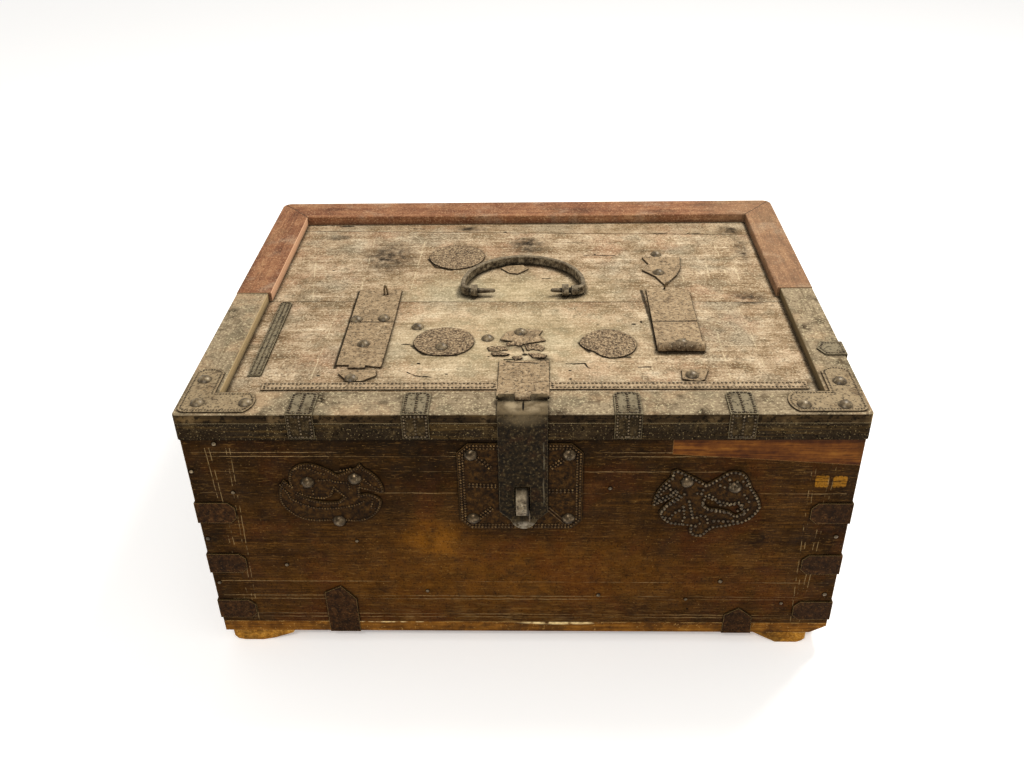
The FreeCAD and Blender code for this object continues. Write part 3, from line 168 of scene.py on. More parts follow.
floor_mesh = bpy.data.meshes.new("floor")
reach = 12.0
floor_mesh.from_pydata(
    [(-reach, -reach, 0), (reach, -reach, 0), (reach, reach, 0), (-reach, reach, 0)],
    [], [(0, 1, 2, 3)],
)
floor = bpy.data.objects.new("floor", floor_mesh)
bpy.context.collection.objects.link(floor)

# Board, painted with matt paint: nothing on it draws the eye
board = bpy.data.materials.new("painted_floor_board")
board.use_nodes = True
cast = node(board.node_tree, "ShaderNodeTexNoise", {"Scale": 6.0, "Detail": 3.0})
tone = node(board.node_tree, "ShaderNodeValToRGB", {"Fac": cast.outputs["Fac"]},
            stops=[(0.3, "f8f8f8"), (0.7, "fbfbfb")])
face = board.node_tree.nodes["Principled BSDF"]
board.node_tree.links.new(tone.outputs["Color"], face.inputs["Base Color"])
face.inputs["Roughness"].default_value = 0.9
board.node_tree.links.new(tone.outputs["Color"], face.inputs["Emission Color"])
face.inputs["Emission Strength"].default_value = 0.30
floor_mesh.materials.append(board)
print("floor", 2 * reach, "m across,", len(lamps), "lamps")

# %% [markdown]
# ## How a finish is built up
#
# A real surface gets its look in coats: the grain of the wood, then stain,
# then dirt, then dust, then wear. The class below works the same way. It
# starts from a ground, and each call lays one coat over what is there, in
# colour, in relief or in gloss. All sizes are given in millimetres on the
# real chest and all patterns read object coordinates, so a grain stays in its
# board when the lid swings.
#
# Three kinds of mask say where a coat goes. Streaks are noise drawn out along the grain. Patches
# are even noise. Marks are straight scratches and round spots at places that were read off the
# picture, made by two small node groups. Worn edges need no drawing at all: the Bevel node gives
# the normal of a rounded edge, and where that differs from the true normal, hands and brooms have
# been. Nor does the darkening round nails, under straps and in corners, which is partly dirt and
# partly painted shade: the Ambient Occlusion node tells how sheltered a place is, which is where a
# cloth never gets and where shade falls.
#
# Real grit is much finer than a millimetre and wouldn't show in the picture.
# Wherever grit is drawn below it is drawn 1.5 to 1.8 mm coarse, so that it
# just shows.

# %% Two node groups: a scratch and a spot
mm = 0.001


def box(name):
    # the lowest and the highest corner of a piece, in millimetres
    return [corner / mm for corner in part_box(name)]


def mask_group(name, vectors, numbers):
    group = bpy.data.node_groups.new(name, "ShaderNodeTree")
    for names, kind in ((vectors, "NodeSocketVector"), (numbers, "NodeSocketFloat")):
        for socket in names:
            group.interface.new_socket(socket, in_out="INPUT", socket_type=kind)
    group.interface.new_socket("Mask", in_out="OUTPUT", socket_type="NodeSocketFloat")
    return group, node(group, "NodeGroupInput").outputs


scratch, given = mask_group("scratch", ("Place", "Start", "End"), ("Half width", "Blur"))
from_start = node(scratch, "ShaderNodeVectorMath", {0: given["Place"], 1: given["Start"]},
                  operation="SUBTRACT").outputs[0]
run = node(scratch, "ShaderNodeVectorMath", {0: given["End"], 1: given["Start"]},
           operation="SUBTRACT").outputs[0]
forward = node(scratch, "ShaderNodeVectorMath", {0: from_start, 1: run},
               operation="DOT_PRODUCT").outputs["Value"]
whole = node(scratch, "ShaderNodeVectorMath", {0: run, 1: run},
             operation="DOT_PRODUCT").outputs["Value"]
part_way = node(scratch, "ShaderNodeMath", {0: forward, 1: whole},
                operation="DIVIDE", use_clamp=True).outputs[0]
nearest = node(scratch, "ShaderNodeVectorMath", {0: run, "Scale": part_way},
               operation="SCALE").outputs[0]
away = node(scratch, "ShaderNodeVectorMath", {0: from_start, 1: nearest},
            operation="DISTANCE").outputs["Value"]
outer = node(scratch, "ShaderNodeMath", {0: given["Half width"], 1: given["Blur"]},
             operation="ADD").outputs[0]
line = node(scratch, "ShaderNodeMapRange",
            {"Value": away, "From Min": outer, "From Max": given["Half width"]},
            interpolation_type="SMOOTHSTEP").outputs[0]
node(scratch, "NodeGroupOutput", {"Mask": line})

spot, given = mask_group("spot", ("Place", "Centre", "Reach"), ("Blur",))
offset = node(spot, "ShaderNodeVectorMath", {0: given["Place"], 1: given["Centre"]},
              operation="SUBTRACT").outputs[0]
shares = node(spot, "ShaderNodeVectorMath", {0: offset, 1: given["Reach"]},
              operation="DIVIDE").outputs[0]
radius = node(spot, "ShaderNodeVectorMath", {0: shares}, operation="LENGTH").outputs["Value"]
inner = node(spot, "ShaderNodeMath", {0: 1.0, 1: given["Blur"]}, operation="SUBTRACT").outputs[0]
round_mask = node(spot, "ShaderNodeMapRange",
                  {"Value": radius, "From Min": 1.0, "From Max": inner},
                  interpolation_type="SMOOTHSTEP").outputs[0]
node(spot, "NodeGroupOutput", {"Mask": round_mask})
print("masks:", scratch.name, "and", spot.name)


# %% A surface in the making
class Finish:
    def __init__(self, name):
        self.material = bpy.data.materials.new(name)
        self.material.use_nodes = True
        self.tree = self.material.node_tree
        self.tree.nodes.clear()
        coordinates = node(self.tree, "ShaderNodeTexCoord")
        self.place = coordinates.outputs["Object"]
        self.facing = coordinates.outputs["Normal"]
        self.colour = None
        self.relief = None
        self.gloss = None

    def streaks(self, along, length, across, detail=4.0, shift=0.0):
        # noise whose flecks are this long and this wide, in millimetres
        sizes = [1 / (across * mm)] * 3
        sizes[along] = 1 / (length * mm)
        drawn = node(self.tree, "ShaderNodeMapping",
                     {"Vector": self.place, "Location": (shift, shift, shift), "Scale": sizes})
        return node(self.tree, "ShaderNodeTexNoise",
                    {"Vector": drawn.outputs[0], "Scale": 1.0, "Detail": detail,
                     "Roughness": 0.62}).outputs["Fac"]

    def patches(self, size, detail=5.0, shift=0.0):
        return self.streaks(0, size, size, detail, shift)

    def between(self, value, low, high):
        # 0 up to the low value, 1 from the high one on, and soft in between
        return node(self.tree, "ShaderNodeMapRange",
                    {"Value": value, "From Min": low, "From Max": high},
                    interpolation_type="SMOOTHSTEP").outputs[0]

    def blots(self, size, detail, low, high, shift=0.0):
        # patches with a soft rim
        return self.between(self.patches(size, detail, shift), low, high)

    def part(self, vector, axis):
        return node(self.tree, "ShaderNodeSeparateXYZ", {0: vector}).outputs[axis]

    def combined(self, first, second, operation="MULTIPLY"):
        # where both masks show, or either one with MAXIMUM
        return node(self.tree, "ShaderNodeMath", {0: first, 1: second},
                    operation=operation).outputs[0]

    def weigh(self, *parts):
        # each part is a pattern and its share
        total = None
        for value, share in parts:
            one = self.combined(value, share)
            total = one if total is None else self.combined(total, one, "ADD")
        return total

    def ground(self, value, stops):
        self.colour = node(self.tree, "ShaderNodeValToRGB", {"Fac": value},
                           stops=stops).outputs["Color"]

    def coat(self, code, amount, *masks):
        # a coat shows only where all of its masks do
        strength = masks[0]
        for other in (*masks[1:], amount):
            strength = self.combined(strength, other)
        self.colour = node(self.tree, "ShaderNodeMix",
                           {0: strength, 6: self.colour, 7: paint(code)},
                           data_type="RGBA", blend_type="MIX").outputs[2]

    def raised(self, *parts):
        # each part is a pattern and its height in millimetres
        for value, height in parts:
            here = self.combined(value, height)
            self.relief = here if self.relief is None else self.combined(self.relief, here, "ADD")

    def scratches(self, runs, half_width, blur, wander=0.0):
        place = self.place
        if wander:
            shake = node(self.tree, "ShaderNodeTexNoise",
                         {"Vector": self.place, "Scale": 90.0, "Detail": 2.0})
            middle = (0.5, 0.5, 0.5)
            centred = node(self.tree, "ShaderNodeVectorMath",
                           {0: shake.outputs["Color"], 1: middle},
                           operation="SUBTRACT").outputs[0]
            moved = node(self.tree, "ShaderNodeVectorMath",
                         {0: centred, "Scale": 2 * wander * mm}, operation="SCALE").outputs[0]
            place = node(self.tree, "ShaderNodeVectorMath", {0: self.place, 1: moved},
                         operation="ADD").outputs[0]
        mask = None
        for start, end in runs:
            one = node(self.tree, "ShaderNodeGroup",
                       {"Place": place, "Start": Vector(start) * mm, "End": Vector(end) * mm,
                        "Half width": half_width * mm, "Blur": blur * mm},
                       node_tree=scratch).outputs[0]
            mask = one if mask is None else self.combined(mask, one, "MAXIMUM")
        return mask

    def spots(self, places, ragged=0.0):
        # each place is a centre, a reach and a blur
        rim = self.patches(9, 4.0) if ragged else None
        mask = None
        for centre, size, blur in places:
            one = node(self.tree, "ShaderNodeGroup",
                       {"Place": self.place, "Centre": Vector(centre) * mm,
                        "Reach": Vector(size) * mm, "Blur": blur},
                       node_tree=spot).outputs[0]
            mask = one if mask is None else self.combined(mask, one, "MAXIMUM")
        if ragged:
            torn = self.between(rim, 0.5 - ragged, 0.5 + ragged)
            mask = self.combined(mask, torn)
        return mask

    def edges(self, radius, low=0.02, high=0.25):
        # a rounded edge's normal differs from the true one only near an edge
        rounded = node(self.tree, "ShaderNodeBevel", {"Radius": radius * mm}, samples=6)
        true = node(self.tree, "ShaderNodeNewGeometry").outputs["Normal"]
        alike = node(self.tree, "ShaderNodeVectorMath",
                     {0: rounded.outputs[0], 1: true}, operation="DOT_PRODUCT").outputs["Value"]
        return self.between(self.combined(1.0, alike, "SUBTRACT"), low, high)

    # Darker where the Ambient Occlusion node finds a place sheltered: partly dirt, partly painted
    # shade round nails, under straps and in corners
    def dirt_and_painted_shade(self, reach, low=0.68, high=0.95):
        open_sky = node(self.tree, "ShaderNodeAmbientOcclusion", {"Distance": reach * mm},
                        samples=6).outputs["AO"]
        return self.between(open_sky, high, low)

    def upward(self, low=0.4, high=0.85):
        return self.between(self.part(self.facing, "Z"), low, high)

    def finished(self, rough, metallic=0.0, worn_round=0.6, shine=0.2):
        inputs = {"Base Color": self.colour, "Metallic": metallic, "Specular IOR Level": shine}
        inputs["Roughness"] = self.gloss if self.gloss is not None else rough
        normal = node(self.tree, "ShaderNodeBevel", {"Radius": worn_round * mm},
                      samples=6).outputs[0]
        if self.relief is not None:
            normal = node(self.tree, "ShaderNodeBump",
                          {"Height": self.relief, "Distance": mm, "Strength": 1.0,
                           "Normal": normal}).outputs[0]
        inputs["Normal"] = normal
        face = node(self.tree, "ShaderNodeBsdfPrincipled", inputs)
        node(self.tree, "ShaderNodeOutputMaterial", {"Surface": face.outputs[0]})
        return self.material


def wear(material, *names):
    for name in names:
        for slot in nodes[name].material_slots:
            slot.material = material
    print(material.name, "on", ", ".join(names))


# %% [markdown]
# ## The panel boards
#
# Three wide planks of unpainted hardwood lie between the rails. Years of
# dust and handling turned them grey and straw-coloured, with darker streaks
# along the grain, black stains where iron straps rusted, pale lines where
# the straps' edges were, and a few open cracks. Grain is noise drawn out
# along the board, so three noises of different length and width give broad
# bands, growth lines and single fibres. Over them lies the mottling of dirt
# and dust, which takes no notice of the grain.
#
# The planks came from different trees, so each has its own run of grain, and each gets its own
# marks, at the places where the picture has them: a broad zone made paler, or on the rear plank
# darker as painted shade, stains, the pale lines that old straps left, open cracks and hair
# cracks, nail holes, and painted shadows under sheet edges that have lifted. One finish for all
# three would also be too long a net of nodes.

# %% Places on the panel
along_x, along_y = 0, 1
panel = round(box("middle_plank")[1].z, 1)

# Marks reach this far below the panel's face, and no farther
mark_depth = 6


def runs(pairs):
    return [((*start, panel), (*end, panel)) for start, end in pairs]


def places(marks):
    # a mark is x, y, half width, half depth and blur
    return [((x, y, panel), (wide, deep, mark_depth), blur) for x, y, wide, deep, blur in marks]


print("panel at", panel, "mm")


# %% Weathered planks
def plank_wood(piece, shift, zone_code, marks):
    # Sawn hardwood, never painted: matt, with open grain that holds dust
    wood = Finish("weathered_" + piece)
    bands = wood.streaks(along_x, 230, 24, 3.0, shift=shift)
    lines = wood.streaks(along_x, 90, 3.6, 6.0, shift=shift + 4)
    fibres = wood.streaks(along_x, 16, 1.3, 3.0, shift=shift + 9)
    mottle = wood.patches(17, 7.0, shift=shift + 6)
    mixed = wood.weigh((bands, 0.22), (lines, 0.22), (fibres, 0.20), (mottle, 0.36))
    wood.ground(mixed, [(0.38, "584532"), (0.45, "7e684d"), (0.50, "998368"),
                        (0.55, "b09b7f"), (0.62, "d0bfa3")])
    wood.coat("948f7d", 0.40, wood.blots(75, 4, 0.50, 0.66, shift))
    wood.coat("ab8266", 0.38, wood.blots(52, 4, 0.48, 0.70, shift + 7))
    wood.coat("6f634e", 0.50, wood.blots(26, 9, 0.53, 0.62, shift + 2))
    fine = wood.patches(3.6, 7.0, shift=shift)
    grit = wood.patches(1.7, 4.0, shift=shift)
    wood.coat("4a3d2c", 0.52, wood.between(fine, 0.54, 0.64))
    wood.coat("4e3f2b", 0.50, wood.between(grit, 0.53, 0.62))
    wood.coat("e2d4b4", 0.45, wood.between(grit, 0.45, 0.36))
    # A broad zone: on the rear plank a darker painted shade, on the others paler
    wood.coat(zone_code, 0.28, wood.spots(places(marks["pale_and_shaded_zones"])))
    wood.coat("302921", 1.30, wood.spots(places(marks["stains"]), ragged=0.30))
    come_and_go = wood.between(mottle, 0.42, 0.56)
    pale = wood.scratches(runs(marks["strap_lines"]), 0.15, 0.6, wander=1.2)
    wood.coat("d8c8a4", 0.45, pale, come_and_go)
    cracks = wood.scratches(runs(marks["cracks"]), 0.40, 0.7, wander=2.2)
    hair_cracks = wood.scratches(runs(marks["hair_cracks"]), 0.1, 0.45, wander=2.2)
    split = wood.combined(cracks, wood.combined(hair_cracks, 0.5), "MAXIMUM")
    gaps = wood.combined(split, wood.spots(places(marks["holes"])), "MAXIMUM")
    wood.coat("0d0a07", 0.95, gaps)
    # Dark lines along lifted sheet edges: painted shadows under the sheet
    if "lifted_edge_shadows" in marks:
        painted_shadow_under_sheet = wood.scratches(runs(marks["lifted_edge_shadows"]), 0.8, 1.6, wander=0.8)
        wood.coat("0d0a07", 0.85, painted_shadow_under_sheet)
    wood.raised((lines, 0.25), (fine, 0.60), (grit, -0.25), (gaps, -0.9))
    wood.coat("2c2318", 0.75, wood.edges(1.2))
    # Darker where sheltered: partly dirt, partly painted shade
    wood.coat("1d150b", 0.85, wood.dirt_and_painted_shade(5.0))

    # The planks' outer edges show under the rails, black with handling
    upright = wood.part(wood.facing, "Z")
    rim = wood.between(upright, 0.7, 0.3)
    wood.coat("181007", 0.97, rim)
    wood.coat("46351b", 0.75, rim, wood.between(lines, 0.50, 0.62))
    wood.coat("54442a", 0.60, rim, wood.blots(20, 8, 0.50, 0.70, 4))
    wood.coat("0d0803", 0.8, rim, wood.between(fine, 0.46, 0.38))
    wood.coat("94815a", 0.6, rim, wood.between(grit, 0.58, 0.66))

    # The underside never saw hands or smoke and stayed plain brown
    under = wood.between(upright, -0.3, -0.7)
    wood.coat("5b4023", 0.85, under)
    wood.coat("33220f", 0.7, under, wood.between(lines, 0.50, 0.60))
    return wood.finished(0.85, worn_round=0.9, shine=0.03)


# %% Marks on the planks, as the picture has them
marks_on = {
    "rear_plank": {
        "pale_and_shaded_zones": [(20, 150, 330, 60, 0.9)],
        "stains": [(-60, 158, 26, 10, 0.9), (216, 150, 18, 16, 0.8)],
        "strap_lines": [((90, 172), (130, 172)), ((-208, 176), (-205, 158))],
        "cracks": [((136, 144), (150, 144)), ((172, 143), (185, 143)),
                   ((-120, 160), (-108, 159))],
        "hair_cracks": [((-40, 165), (60, 163)), ((100, 156), (190, 158))],
        "holes": [(-21, 150, 2.2, 1.6, 0.5), (-220, 172, 5.5, 2.2, 0.4),
                  (-194, 167, 11, 1.6, 0.4)],
    },
    "middle_plank": {
        "pale_and_shaded_zones": [(-20, 12, 170, 62, 1.0)],
        "stains": [(-138, 90, 40, 54, 0.9), (3, 116, 24, 32, 0.8), (-197, 138, 16, 9, 0.8),
                   (211, 1, 24, 13, 0.9), (222, 100, 10, 40, 1.0)],
        "strap_lines": [((-158.7, 150), (-156, 17)), ((-214, 96), (-199, -3)),
                        ((181.5, 78), (181, 42)), ((208.6, 66), (209, 34)),
                        ((155, 50), (155, 20)), ((-104, 148), (-108, 20)),
                        ((196, 128), (199, 0))],
        "cracks": [((61, 92), (92, 91)), ((18, 40), (26, 40))],
        "hair_cracks": [((-180, 38), (-171, 31)), ((-171, 31), (-173, 20)),
                        ((30, 122), (120, 123)), ((-212, 36), (-150, 38)),
                        ((60, 26), (150, 24))],
        "holes": [(72, 94, 1.8, 1.2, 0.5), (-190, 60, 1.5, 1.1, 0.5),
                  (124, 70, 1.5, 1.2, 0.5)],
        "lifted_edge_shadows": [((112.5, 13), (113.5, -8)), ((-157, 14), (-157, -8)),
                         ((-97, 84), (-88, 66)), ((-88, 66), (-72, 59.5))],
    },
    "front_plank": {
        "pale_and_shaded_zones": [(-15, -80, 190, 110, 1.0)],
        "stains": [(-2, -84, 20, 18, 0.8), (16, -112, 14, 12, 0.7), (211, -8, 22, 12, 0.9)],
        "strap_lines": [((199, -10), (203, -122)), ((172, -60), (172, -145)),
                        ((-172, -20), (-174, -140))],
        "cracks": [((-95, -131), (-89, -136)), ((-89, -136), (-74, -139)),
                   ((38, -118), (54, -118)), ((54, -118), (58, -127)),
                   ((98, -124), (108, -124)), ((14, -125), (22, -128)),
                   ((-19, -82), (0, -81)), ((-28, -97), (-13, -96)),
                   ((-28, -106), (-11, -105)), ((-15, -111), (-4, -111)),
                   ((-1, -87), (2, -101))],
        "hair_cracks": [((48, -20), (53, -36)), ((64, -51), (84, -51)),
                        ((22, -115), (88, -115)), ((-100, -60), (-30, -62)),
                        ((-60, -150), (-150, -149))],
        "holes": [(-169, -136, 2.0, 1.3, 0.5), (-87, -117, 2.0, 1.5, 0.5),
                  (-62, -134, 1.6, 1.1, 0.5), (41, -129, 1.6, 1.2, 0.5),
                  (41, -142, 1.6, 1.2, 0.5), (100, -51, 2.6, 1.6, 0.4),
                  (107, -47, 1.2, 2.4, 0.4), (-101, -85, 6, 1.2, 0.6),
                  (3, -103, 3.2, 2.6, 0.5), (-2, -115, 3.4, 2.6, 0.6),
                  (19, -107, 2.6, 2.0, 0.5)],
        "lifted_edge_shadows": [((113.5, -8), (116.4, -48)), ((116.4, -48), (116.4, -96)),
                         ((-157, -8), (-157, -124)), ((-95.5, -88), (-84, -102.5)),
                         ((-84, -102.5), (-56, -104)), ((50, -84), (58, -99)),
                         ((70, -107), (92, -108))],
    },
}
# The rear plank's zone colour is a painted shade; the others are paler
for piece, shift, zone_code in (
    ("rear_plank", 2.0, "6f5a3c"), ("middle_plank", 5.5, "cfc49c"), ("front_plank", 8.0, "cfc49c"),
):
    wear(plank_wood(piece, shift, zone_code, marks_on[piece]), piece)
print("planks: bands 24 mm, growth lines 3.6 mm, fibres 1.3 mm wide")

# %% [markdown]
# ## The rails around the panel
#
# The front rail and the front ends of the side rails are the old ones: dull
# grey-brown on top from dust and almost black in front from smoke and hands.
# The back rail and the rear halves of the side rails were replaced later with
# a red-brown wood, planed and oiled, with paler edges. The grain runs along
# each rail, so each kind of wood needs a finish along X and one along Y, and
# one function makes both. At the back corners the rails meet in mitres that
# have opened a little.
#
# The inner faces of the left rails, and the old rails' faces that turn to the right, are painted
# pale: painted light from the right. The inner face of the old right rail is painted a lighter
# brown, painted light on its shaded side, and that of the newer right rail stays brown.

# %% Newer red-brown rails
back_low, back_high = box("back_rail")
mitres = []
for name, inner, outer in (("left_rear_rail", 1, 0), ("right_rear_rail", 0, 1)):
    ends = box(name)
    mitres.append(((ends[inner].x, back_low.y, back_high.z),
                   (ends[outer].x, back_high.y, back_high.z)))
print("mitres from", [[round(value, 1) for value in start] for start, end in mitres])


def newer_rail(name, along):
    # Planed hardwood, oiled: warm and slightly glossy, with fine dark pores
    rail = Finish(name)
    bands = rail.streaks(along, 210, 13, 3.0, shift=2.0 + along)
    lines = rail.streaks(along, 90, 2.6, 5.0, shift=1.0)
    pores = rail.streaks(along, 8, 1.1, 3.0, shift=6.0)
    mottle = rail.patches(22, 6.0, shift=3.0)
    mixed = rail.weigh((bands, 0.34), (lines, 0.30), (mottle, 0.36))
    rail.ground(mixed, shades("50301e 754a31 8e6243 ab845f", 0.36, 0.46, 0.54, 0.66))
    rail.coat("6e5238", 0.50, rail.blots(50, 4, 0.50, 0.70))
    rail.coat("a68f76", 0.45, rail.blots(34, 7, 0.50, 0.66, 9))
    rail.coat("3f2415", 0.60, rail.between(pores, 0.56, 0.66))
    grit = rail.patches(1.7, 4.0)
    rail.coat("c9a47c", 0.45, rail.between(grit, 0.45, 0.36))
    rail.coat("4c2e1d", 0.55, rail.between(grit, 0.55, 0.65))
    # Faces turned to the right, on the left half, are painted pale: painted light from the right
    side = rail.part(rail.facing, "X")
    metres_right = rail.part(rail.place, "X")
    rail.coat("e3b48f", 0.70, rail.between(side, 0.5, 0.8),
              rail.between(metres_right, 0.05, -0.05))
    rail.coat("857a5e", 0.25, rail.between(metres_right, 0.15, 0.25))
    # Darker where sheltered: partly dirt, partly painted shade
    rail.coat("23150b", 0.45, rail.dirt_and_painted_shade(5.0))
    rail.coat("d2a67c", 1.1, rail.edges(1.8), rail.patches(12, 3.0))
    rail.coat("1c1009", 0.90, rail.scratches(mitres, 0.25, 0.5, wander=0.4))
    rail.raised((lines, 0.22), (pores, -0.22), (grit, -0.2), (rail.patches(6, 5.0), 0.35))
    return rail.finished(0.7, worn_round=1.0, shine=0.16)


wear(newer_rail("oiled_rail_wood_lengthwise", along_x), "back_rail")
wear(newer_rail("oiled_rail_wood_crosswise", along_y), "left_rear_rail", "right_rear_rail")


# %% Old dusty rails
def old_rail(name, along):
    # Old hardwood, its oil long gone: matt, with dust on all that faces up
    rail = Finish(name)
    bands = rail.streaks(along, 150, 9, 4.0, shift=5.0 + along)
    lines = rail.streaks(along, 60, 2.0, 6.0, shift=3.0)
    mottle = rail.patches(15, 7.0, shift=4.0)
    mixed = rail.weigh((bands, 0.30), (lines, 0.38), (mottle, 0.32))
    rail.ground(mixed, shades("120d07 251b0f 3a2c19 5c4829"))
    top = rail.upward()
    rail.coat("93836a", 0.92, top, rail.between(mottle, 0.25, 0.55))
    rail.coat("5f523d", 0.62, top, rail.between(lines, 0.50, 0.64))
    rail.coat("b09372", 0.50, top, rail.blots(60, 4, 0.47, 0.60, 8))
    rail.coat("6c6450", 0.45, top, rail.blots(40, 9, 0.52, 0.60, 2))
    grit = rail.patches(1.8, 4.0)
    rail.coat("463a2a", 0.55, top, rail.blots(3.4, 6, 0.55, 0.65, 11))
    rail.coat("dccda6", 0.45, top, rail.between(grit, 0.45, 0.36))
    rail.coat("5a4c38", 0.45, top, rail.between(grit, 0.55, 0.65))
    low = rail.combined(1.0, top, "SUBTRACT")
    rail.coat("6b573a", 0.60, low, rail.blots(20, 8, 0.50, 0.70, 4))
    rail.coat("0d0803", 0.8, low, rail.blots(3.4, 6, 0.52, 0.60, 11))
    # Faces turned to the right are painted pale, painted light from the right; the right rail's
    # inner face gets a lighter brown, painted light on its shaded side
    side = rail.part(rail.facing, "X")
    metres_right = rail.part(rail.place, "X")
    rail.coat("b39c74", 0.85, rail.between(side, 0.5, 0.8))
    rail.coat("7a6a4d", 0.65, rail.between(side, -0.5, -0.8),
              rail.between(metres_right, -0.05, 0.05))
    # Darker where sheltered: partly dirt, partly painted shade
    rail.coat("1d150b", 0.55, rail.dirt_and_painted_shade(5.0))
    rail.coat("b3a078", 1.1, rail.edges(1.6), rail.patches(9, 4.0))
    rail.raised((grit, -0.25), (lines, 0.40), (rail.patches(4.5, 5.0), 0.50))
    return rail.finished(0.88, worn_round=1.2, shine=0.05)


wear(old_rail("dusty_rail_wood_lengthwise", along_x), "front_rail")
wear(old_rail("dusty_rail_wood_crosswise", along_y), "left_front_rail", "right_front_rail")

# %% [markdown]
# ## The front board
#
# The front is stained nearly black-brown and waxed by hands. It is lighter and reddish across its
# lower middle, orange in a patch left of the lock plate where it was rubbed, and darker at both
# ends and along the top. A marking gauge has left pairs of fine scribed lines along the edges, and
# they catch dust, so they are drawn as pale shallow scratches that come and go.

# %% Stained front board
board_low = box("front_board")[0]
front_face = round(board_low.y, 1)
wall_foot = round(board_low.z, 1)


def on_front(x, height):
    return (x, front_face, wall_foot + height)


def front_spot(x, height, half_width, half_height, blur, depth=20):
    return (on_front(x, height), (half_width, depth, half_height), blur)


# Hardwood, stained and waxed by hand: dark, with a dull gloss that comes and goes
front = Finish("stained_front_wood")
bands = front.streaks(along_x, 330, 17, 3.0, shift=1.5)
lines = front.streaks(along_x, 110, 2.8, 6.0, shift=2.5)
pores = front.streaks(along_x, 14, 1.2, 3.0, shift=8.0)
mottle = front.patches(13, 7.0, shift=5.0)
fine = front.streaks(along_x, 75, 0.9, 3.0, shift=6.5)
mixed = front.weigh((bands, 0.10), (lines, 0.26), (pores, 0.22), (mottle, 0.22), (fine, 0.20))
front.ground(mixed, shades("1b0f03 2c1907 3e270b 5e3d17", 0.38, 0.45, 0.53, 0.62))
# Lighter and reddish across the lower middle and left of the lock plate
lighter_middle = front.spots([
    front_spot(-72, 92, 60, 34, 0.9), front_spot(-50, 48, 95, 34, 1.0),
    front_spot(0, 50, 300, 80, 1.0),
], ragged=0.35)
front.coat("7a4b12", 0.58, lighter_middle)
orange_patch = front.spots([
    front_spot(-76, 102, 29, 22, 0.5), front_spot(-66, 84, 34, 14, 0.9),
], ragged=0.45)
front.coat("7c4d10", 0.62, orange_patch)
front.coat("1d1206", 0.55, front.blots(60, 5, 0.48, 0.70, 3))
front.coat("4c240a", 0.35, front.blots(48, 7, 0.50, 0.64, 13))
# Darker at both ends, along the top and in two smaller places
darker_ends_and_top = front.spots([
    front_spot(-262, 110, 24, 130, 0.8), front_spot(262, 110, 24, 130, 0.8),
    front_spot(0, 140, 66, 54, 0.5), front_spot(-40, 205, 400, 95, 0.8),
    front_spot(196, 98, 9, 13, 0.5),
], ragged=0.5)
front.coat("100a03", 1.1, darker_ends_and_top)
# Darker still along the top
front.coat("170e05", 0.55, front.spots([front_spot(-90, 215, 360, 85, 0.9)]))

# Bare bright wood at the right end, where a nailed piece has come off
bare_wood = front.scratches([
    (on_front(x, 154.5), on_front(x, top))
    for x, top in ((237, 163), (240.5, 164), (244, 163), (251, 162), (254.5, 163), (258, 162))
], 1.5, 0.8, wander=0.8)
front.coat("8d5f18", 0.85, bare_wood, front.between(pores, 0.38, 0.52))
print("front board: one glowing patch left of the lock plate, dark ends")

# %% Its scribed lines, dust and nicks
level_lines = [
    (on_front(-262, z), on_front(262, z - 1.0)) for z in (188, 184, 169, 147, 49, 32, 10)
] + [(on_front(-255, z), on_front(255, z)) for z in (28, 6)]
upright_lines = []
for side in (-1, 1):
    for top, bottom in ((250, 244), (246.5, 240.5), (233, 239), (230, 236)):
        upright_lines.append((on_front(side * top, 192), on_front(side * bottom, 2)))
worn = front.between(front.streaks(along_x, 80, 30, 4.0, shift=4.0), 0.40, 0.60)
level = front.scratches(level_lines, 0.05, 0.42, wander=0.7)
upright = front.scratches(upright_lines, 0.10, 0.42, wander=0.5)
broken = front.blots(9, 5, 0.46, 0.56, 6)
front.coat("b89868", 0.52, level, worn)
front.coat("a98d60", 0.45, upright, broken)
grit = front.patches(1.7, 4.0, shift=4.0)
front.coat("a5844e", 0.35, front.between(grit, 0.36, 0.28))
hairs = front.between(front.streaks(along_x, 9, 0.9, 2.0, shift=12.0), 0.60, 0.68)
front.coat("96703a", 0.20, hairs)
front.coat("0c0602", 0.55, front.between(grit, 0.54, 0.64))
# Darker where sheltered: partly dirt, partly painted shade
front.coat("0a0502", 0.90, front.dirt_and_painted_shade(6.0))
front.coat("86663a", 0.30, front.spots([front_spot(0, 0, 290, 46, 0.9)]),
           front.between(front.streaks(along_x, 22, 3, 5.0), 0.50, 0.66))
nicks = front.spots([
    front_spot(x, z, 1.5, 1.3, 0.4) for x, z in (
        (169.5, 50), (141.8, 29), (144.2, 17), (224.8, 24.5), (259.9, 101), (260.6, 35),
        (-267, 169), (-82.7, 38), (-264.9, 47), (66, 33.5), (-138.5, 95))
])
front.coat("070402", 0.9, nicks)
front.raised((lines, 0.28), (fine, 0.25), (pores, -0.2), (grit, -0.15),
             (front.patches(6, 5.0), 0.4), (front.combined(level, upright, "MAXIMUM"), -0.25))
front.coat("8c6a3e", 0.9, front.edges(1.4), front.patches(6, 4.0))
front.gloss = front.blots(16, 5, 1.15, 0.05)
wear(front.finished(0.5, worn_round=0.9, shine=0.03), "front_board")


